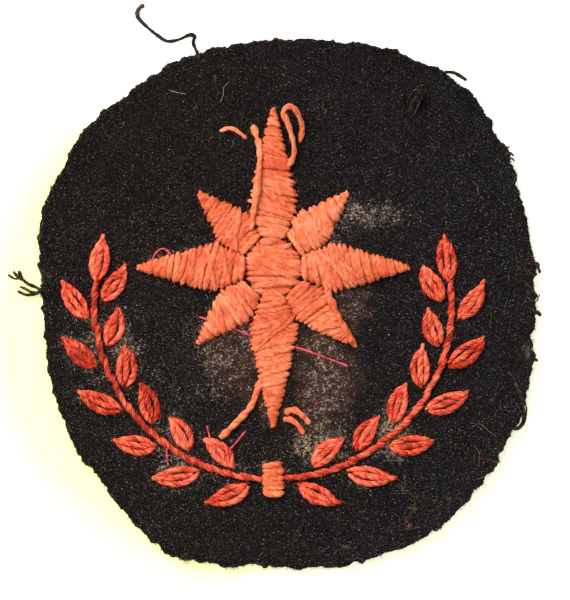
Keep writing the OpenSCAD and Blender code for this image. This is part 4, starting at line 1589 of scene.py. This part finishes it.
FLOSS_TINTS = [(0.80, 0.20, 0.075), (0.92, 0.36, 0.18), (0.60, 0.09, 0.035)]
COTTON_TINTS = [(0.72, 0.085, 0.045), (0.85, 0.19, 0.11), (0.40, 0.03, 0.016)]
THREAD_FUZZ = {
    "floss_fuzz": (satin_cells, "satin_thread", 16000, FLOSS_TINTS),
    "cotton_fuzz": (leaf_cells, "leaf_thread", 26000, COTTON_TINTS),
}
for name, (cells, slot, tries, tints) in THREAD_FUZZ.items():
    root = scattered(tries, rng, lambda x, y: map_at(cells, x, y))
    count = len(root)
    start_high = face_high(root[:, 0], root[:, 1]) + map_at(smooth_high, root[:, 0], root[:, 1]) - 0.10
    heading = rng.uniform(0, 2 * np.pi, count)
    length = rng.uniform(0.25, 0.9, count)
    curl = rng.normal(0, 2.2, count)
    width = rng.uniform(0.02, 0.04, count)
    climb = rng.uniform(0.05, 0.2, count)
    tint = pick_tints(count, rng, tints, [0.5, 0.3, 0.2])
    add_hairs(name, root, heading, length, curl, width, climb, start_high, tint)

# %% [markdown]
# Dry glue breaks into crumbs that stay caught in the wool. A ball would be too smooth for
# one, and would need more faces, so a crumb is a twenty-sided lump with its corners pushed
# in and out, pressed flat and turned at random. The crumbs are scattered with the glue
# function as their chance, so they lie where the cloth is stained, and some of those in
# the paste are larger.

# %% Crumbs
CRUMB_TRIES = 26000
CRUMB_SIZE = 0.075
CRUMB_FLAT = 0.5
PASTE_SHARE = 0.2
PASTE_LARGER = 1.8
CRUMB_TINTS = [
    (0.11, 0.066, 0.049), (0.20, 0.130, 0.100), (0.30, 0.20, 0.155),
    (0.05, 0.030, 0.022), (0.19, 0.165, 0.150),
]
GOLDEN = (1 + math.sqrt(5)) / 2
# The twelve corners of the lump are those of three golden rectangles at right angles
LUMP = unit(np.array([
    [-1, GOLDEN, 0], [1, GOLDEN, 0], [-1, -GOLDEN, 0], [1, -GOLDEN, 0],
    [0, -1, GOLDEN], [0, 1, GOLDEN], [0, -1, -GOLDEN], [0, 1, -GOLDEN],
    [GOLDEN, 0, -1], [GOLDEN, 0, 1], [-GOLDEN, 0, -1], [-GOLDEN, 0, 1],
]))
LUMP_FACES = np.array([
    [0, 11, 5], [0, 5, 1], [0, 1, 7], [0, 7, 10], [0, 10, 11],
    [1, 5, 9], [5, 11, 4], [11, 10, 2], [10, 7, 6], [7, 1, 8],
    [3, 9, 4], [3, 4, 2], [3, 2, 6], [3, 6, 8], [3, 8, 9],
    [4, 9, 5], [2, 4, 11], [6, 2, 10], [8, 6, 7], [9, 8, 1],
])


def crumbs(spot, size, rng):
    """Twenty-sided lumps at places: corners pushed at random, flattened, and turned about the upright."""
    count = len(spot)
    lumps = LUMP[None] * rng.uniform(0.6, 1.25, (count, len(LUMP), 1)) * size[:, None, None]
    lumps[..., 1] *= rng.uniform(0.5, 1.0, (count, 1))
    lumps[..., 2] *= CRUMB_FLAT
    turned = rng.uniform(0, 2 * np.pi, (count, 1))
    x = lumps[..., 0] * np.cos(turned) - lumps[..., 1] * np.sin(turned)
    y = lumps[..., 0] * np.sin(turned) + lumps[..., 1] * np.cos(turned)
    high = felt_high(spot[:, 0], spot[:, 1])
    points = np.stack([x + spot[:, :1], y + spot[:, 1:], lumps[..., 2] + high[:, None] + 0.02], -1)
    faces = LUMP_FACES[None] + np.arange(count)[:, None, None] * len(LUMP)
    return points.reshape(-1, 3), [faces.reshape(-1, 3)]


def on_glue(x, y):
    """Chance of a crumb: the square of the glue, off the stitches, and a little everywhere."""
    return (1 - map_at(covered, x, y)) * glue_at(x, y) ** 2 * 0.9 + 0.002


rng = np.random.default_rng(41)
root = scattered(CRUMB_TRIES, rng, on_glue)
size = rng.lognormal(math.log(CRUMB_SIZE), 0.35, len(root))
pasted = rng.random(len(root)) < spotted(PASTE_SPOTS, root[:, 0], root[:, 1]) * PASTE_SHARE
size = np.where(pasted, size * PASTE_LARGER, size)
points, faces = crumbs(root, size, rng)
tint = pick_tints(len(root), rng, CRUMB_TINTS, [0.34, 0.24, 0.08, 0.22, 0.12])
grit = add_piece("glue_crumbs", points, faces, crumb_look, {"tint": np.repeat(tint, len(LUMP), 0)})
print("crumbs", len(root))

# %% [markdown]
# Bits of lint have caught on the wool: a dark tangle near the top right, brown and bluish
# wisps along the edge, crumpled tan and orange-brown ones near the lower right, and sparse
# red and teal ones. The largest is a few millimetres long, so none is modelled hair by
# hair: they are small clouds of the same curled hairs, each round a place and with its own
# colour.

# %% Lint
LINT_BRIGHTEST = 0.3
LINT = [
    # x, y, half width, half height, hairs, longest hair, rise, red, green, blue
    (17.4, 27.0, 0.60, 0.90, 90, 1.5, 0.80, 0.022, 0.019, 0.015),
    (16.6, 26.0, 0.50, 0.90, 100, 1.4, 0.90, 0.022, 0.019, 0.015),
    (16.0, 24.9, 0.40, 0.50, 60, 1.1, 0.70, 0.034, 0.028, 0.021),
    (15.4, 25.8, 0.30, 1.00, 90, 1.2, 0.20, 0.003, 0.002, 0.002),
    (17.6, 25.4, 0.40, 0.70, 50, 1.0, 0.20, 0.003, 0.003, 0.003),
    (30.7, 5.1, 0.60, 0.75, 90, 1.4, 0.45, 0.045, 0.028, 0.018),
    (29.6, 3.2, 0.90, 0.60, 40, 1.3, 0.30, 0.035, 0.024, 0.016),
    (30.8, -6.2, 0.40, 0.60, 70, 1.0, 0.45, 0.150, 0.118, 0.092),
    (30.2, -6.9, 0.70, 0.50, 50, 1.2, 0.30, 0.040, 0.026, 0.018),
    (30.7, -2.1, 0.45, 0.20, 18, 0.5, 0.10, 0.110, 0.014, 0.012),
    (29.7, 0.2, 0.35, 0.30, 8, 0.5, 0.10, 0.060, 0.010, 0.009),
    (27.1, -20.2, 0.26, 0.50, 60, 0.7, 0.30, 0.015, 0.022, 0.030),
    (15.1, -18.0, 0.35, 0.25, 26, 0.5, 0.20, 0.240, 0.175, 0.125),
    (14.4, -20.1, 0.35, 0.55, 34, 0.6, 0.20, 0.260, 0.195, 0.140),
    (14.9, -23.4, 0.18, 0.75, 14, 1.1, 0.20, 0.150, 0.110, 0.080),
    (15.3, -24.0, 0.10, 0.60, 6, 1.6, 0.20, 0.120, 0.100, 0.080),
    (16.7, -24.6, 0.80, 0.30, 6, 1.5, 0.20, 0.110, 0.095, 0.080),
    (20.6, -24.9, 0.45, 0.30, 20, 0.8, 0.20, 0.090, 0.055, 0.042),
    (16.3, -26.3, 0.50, 0.35, 34, 0.8, 0.25, 0.150, 0.110, 0.062),
    (15.4, -28.1, 0.55, 0.50, 44, 0.8, 0.30, 0.170, 0.056, 0.034),
    (15.7, -28.6, 0.45, 0.35, 20, 0.7, 0.30, 0.180, 0.125, 0.090),
    (15.2, -27.9, 0.60, 0.60, 20, 1.0, 0.30, 0.012, 0.009, 0.008),
    (7.5, -31.0, 0.50, 0.25, 14, 0.8, 0.20, 0.200, 0.140, 0.100),
    (6.8, -28.0, 0.20, 0.20, 6, 0.6, 0.15, 0.200, 0.026, 0.020),
    (25.6, -15.2, 0.70, 0.20, 12, 0.4, 0.10, 0.110, 0.022, 0.016),
    (25.4, -19.8, 0.40, 0.35, 16, 0.7, 0.20, 0.210, 0.050, 0.034),
    (24.8, -20.3, 0.45, 0.45, 10, 0.6, 0.20, 0.080, 0.022, 0.018),
    (27.2, -18.3, 0.50, 0.30, 12, 0.5, 0.10, 0.130, 0.024, 0.018),
    (22.9, -22.3, 0.30, 0.20, 5, 0.5, 0.10, 0.120, 0.026, 0.020),
    (17.7, -24.7, 0.15, 0.20, 5, 0.4, 0.10, 0.160, 0.026, 0.020),
    (22.4, -25.4, 0.40, 0.25, 14, 0.6, 0.20, 0.110, 0.062, 0.050),
    (18.75, -22.7, 0.07, 0.60, 8, 1.2, 0.15, 0.030, 0.105, 0.110),
    (-9.1, 28.9, 0.25, 0.30, 20, 0.5, 0.15, 0.130, 0.080, 0.056),
    (-15.4, 30.1, 0.35, 0.15, 7, 0.4, 0.10, 0.120, 0.022, 0.018),
    (24.5, 18.9, 0.45, 0.25, 6, 1.2, 0.15, 0.020, 0.055, 0.060),
    (24.2, 20.4, 0.12, 0.12, 10, 0.25, 0.10, 0.240, 0.150, 0.100),
    (23.3, 19.2, 0.12, 0.10, 8, 0.25, 0.10, 0.220, 0.140, 0.095),
    (-12.7, -32.6, 0.60, 0.50, 60, 1.1, 0.30, 0.050, 0.040, 0.022),
    (-30.0, 16.7, 0.30, 0.90, 26, 0.9, 0.20, 0.055, 0.040, 0.026),
    (-31.7, 8.7, 0.30, 0.55, 50, 0.8, 0.20, 0.080, 0.055, 0.036),
    (-30.8, 3.4, 0.50, 0.45, 90, 1.0, 0.45, 0.070, 0.052, 0.031),
    (-30.2, 2.6, 0.60, 0.55, 90, 1.0, 0.35, 0.020, 0.023, 0.018),
    (-22.7, 24.4, 0.45, 0.30, 24, 0.8, 0.15, 0.050, 0.038, 0.023),
    (-20.8, 22.9, 0.20, 0.20, 12, 0.5, 0.15, 0.180, 0.120, 0.085),
]


def lint_hairs(rng):
    """Every wisp's hairs at once: a normal cloud of roots round each place, the highest in its middle.
    A root that would fall beside the cloth is drawn in to its edge."""
    rows = np.repeat(np.array(LINT), np.array(LINT)[:, 4].astype(int), axis=0)
    away = rng.normal(0, 0.6, (len(rows), 2))
    root = rows[:, :2] + away * rows[:, 2:4]
    angle, radius = to_polar(root[:, 0], root[:, 1])
    root = from_polar(angle, np.minimum(radius, cut_radius(angle) + ragged(angle, 0) - 0.15))
    rise = rows[:, 6] * np.exp(-(away**2).sum(1)) * rng.uniform(0.1, 1, len(rows))
    high = face_high(root[:, 0], root[:, 1]) + rise
    colour = np.clip(rows[:, 7:] * rng.lognormal(-0.20, 0.85, (len(rows), 1)), 0, LINT_BRIGHTEST)
    tint = np.column_stack([colour, np.ones(len(rows))])
    length = rows[:, 5] * rng.uniform(0.3, 1, len(rows))
    heading = rng.uniform(0, 2 * np.pi, len(rows))
    curl = rng.normal(0, 3.0, len(rows))
    return root, heading, length, curl, high, tint


rng = np.random.default_rng(53)
root, heading, length, curl, start_high, tint = lint_hairs(rng)
width = rng.uniform(0.035, 0.07, len(root))
climb = rng.uniform(0.0, 0.25, len(root))
add_hairs("lint", root, heading, length, curl, width, climb, start_high, tint, rings=5)

# %% [markdown]
# A few single fibres are longer than any hair: two pale ones near the top, and fainter
# ones down the right side. A hair's curl is random, but each of these has a bend that the
# picture shows, so they are laid like the loose threads, as thin as a hair.

# %% Single fibres
PALE = [(0.09, 0.07, 0.06), (0.19, 0.155, 0.135), (0.32, 0.27, 0.24)]
SINGLE_FIBRES = [
    # radius, tone, stops of x, y and height over what is below
    (0.040, 0.9, [(-15.1, 27.3, 0.0), (-14.3, 27.05, 0.1), (-13.6, 26.9, 0.1), (-12.8, 26.8, 0.0)]),
    (0.030, 0.9, [(-7.4, 28.3, 0.0), (-8.0, 27.6, 0.1), (-8.1, 26.6, 0.1), (-8.5, 25.6, 0.0)]),
    (0.024, 0.5, [(20.0, -3.0, 0.0), (20.9, -3.6, 0.15), (21.2, -4.4, 0.1), (20.8, -5.0, 0.0)]),
    (0.024, 0.5, [(21.1, 0.9, 0.0), (22.2, 0.4, 0.15), (22.6, -0.5, 0.1), (22.4, -1.3, 0.0)]),
    (0.022, 0.4, [(21.6, 6.0, 0.0), (21.3, 5.0, 0.15), (20.6, 4.5, 0.1), (20.3, 3.8, 0.0)]),
    (0.022, 0.4, [(23.7, 15.8, 0.0), (24.4, 15.0, 0.1), (24.6, 14.0, 0.15), (25.2, 13.3, 0.0)]),
    (0.024, 0.5, [(23.8, -15.8, 0.0), (24.7, -15.4, 0.1), (26.0, -16.4, 0.1), (26.8, -17.0, 0.0)]),
    (0.024, 0.5, [(24.0, -18.2, 0.0), (24.6, -19.0, 0.1), (24.6, -20.2, 0.1), (24.5, -21.0, 0.0)]),
]
pale_look = thread_look("pale_fibre", *PALE, sheen=0.0, roughness=0.8)
add_threads("pale_fibres", SINGLE_FIBRES, pale_look, rng, turn=1.5, rings=24)

# %% [markdown]
# The table is a plain pale sheet, large enough to fill every view. It glows a little by
# itself, though no lamp is under it, so that the shadow beside the cloth stays faint. Close
# to the patch it has a painted cream halo on its left and a painted warm shadow on its
# lower right, and it turns white further out. The table belongs to the stage and not to
# the patch.

# %% Table
TABLE_HALF = 1500
TABLE_GLOW = 0.84
TINT_MIDDLE = (-0.006, -0.002, 0.0)
LEFTWARDS = (-0.95, -0.3, 0.0)
LOWER_RIGHT = (0.7, -0.7, 0.0)


def table_look():
    """White, with a painted cream halo near the patch to its left and a painted warm shadow to its lower
    right.
    """
    look, tree, shader = new_look("pale_table", 0.7, 0.2, 0.0, (1, 1, 1))
    shader.inputs["Emission Strength"].default_value = TABLE_GLOW
    place = object_place(tree)
    far = vector_maths(tree, "DISTANCE", place, TINT_MIDDLE)
    left = window(tree, vector_maths(tree, "DOT_PRODUCT", place, LEFTWARDS), 0.004, 0.022)
    right = window(tree, vector_maths(tree, "DOT_PRODUCT", place, LOWER_RIGHT), 0.012, 0.026)
    # Painted cream halo on the left of the patch, and painted warm shadow on its lower right
    painted_cream_halo = blend(tree, window(tree, far, 0.0290, 0.0345), (0.80, 0.78, 0.330, 1), (0.80, 0.80, 0.43, 1))
    painted_warm_shadow = blend(tree, right, (0.80, 0.785, 0.69, 1), (0.80, 0.78, 0.61, 1))
    tint = blend(tree, left, painted_warm_shadow, painted_cream_halo)
    tint = blend(tree, window(tree, far, 0.034, 0.054), tint, (0.80, 0.80, 0.78, 1))
    for socket in ("Base Color", "Emission Color"):
        tree.links.new(tint, shader.inputs[socket])
    return look


corners = np.array([[-1, -1, 0], [1, -1, 0], [1, 1, 0], [-1, 1, 0]]) * TABLE_HALF
table = add_piece("table", corners, [np.array([[0, 1, 2, 3]])], table_look())
table.parent = None
print("table", 2 * TABLE_HALF, "mm wide")
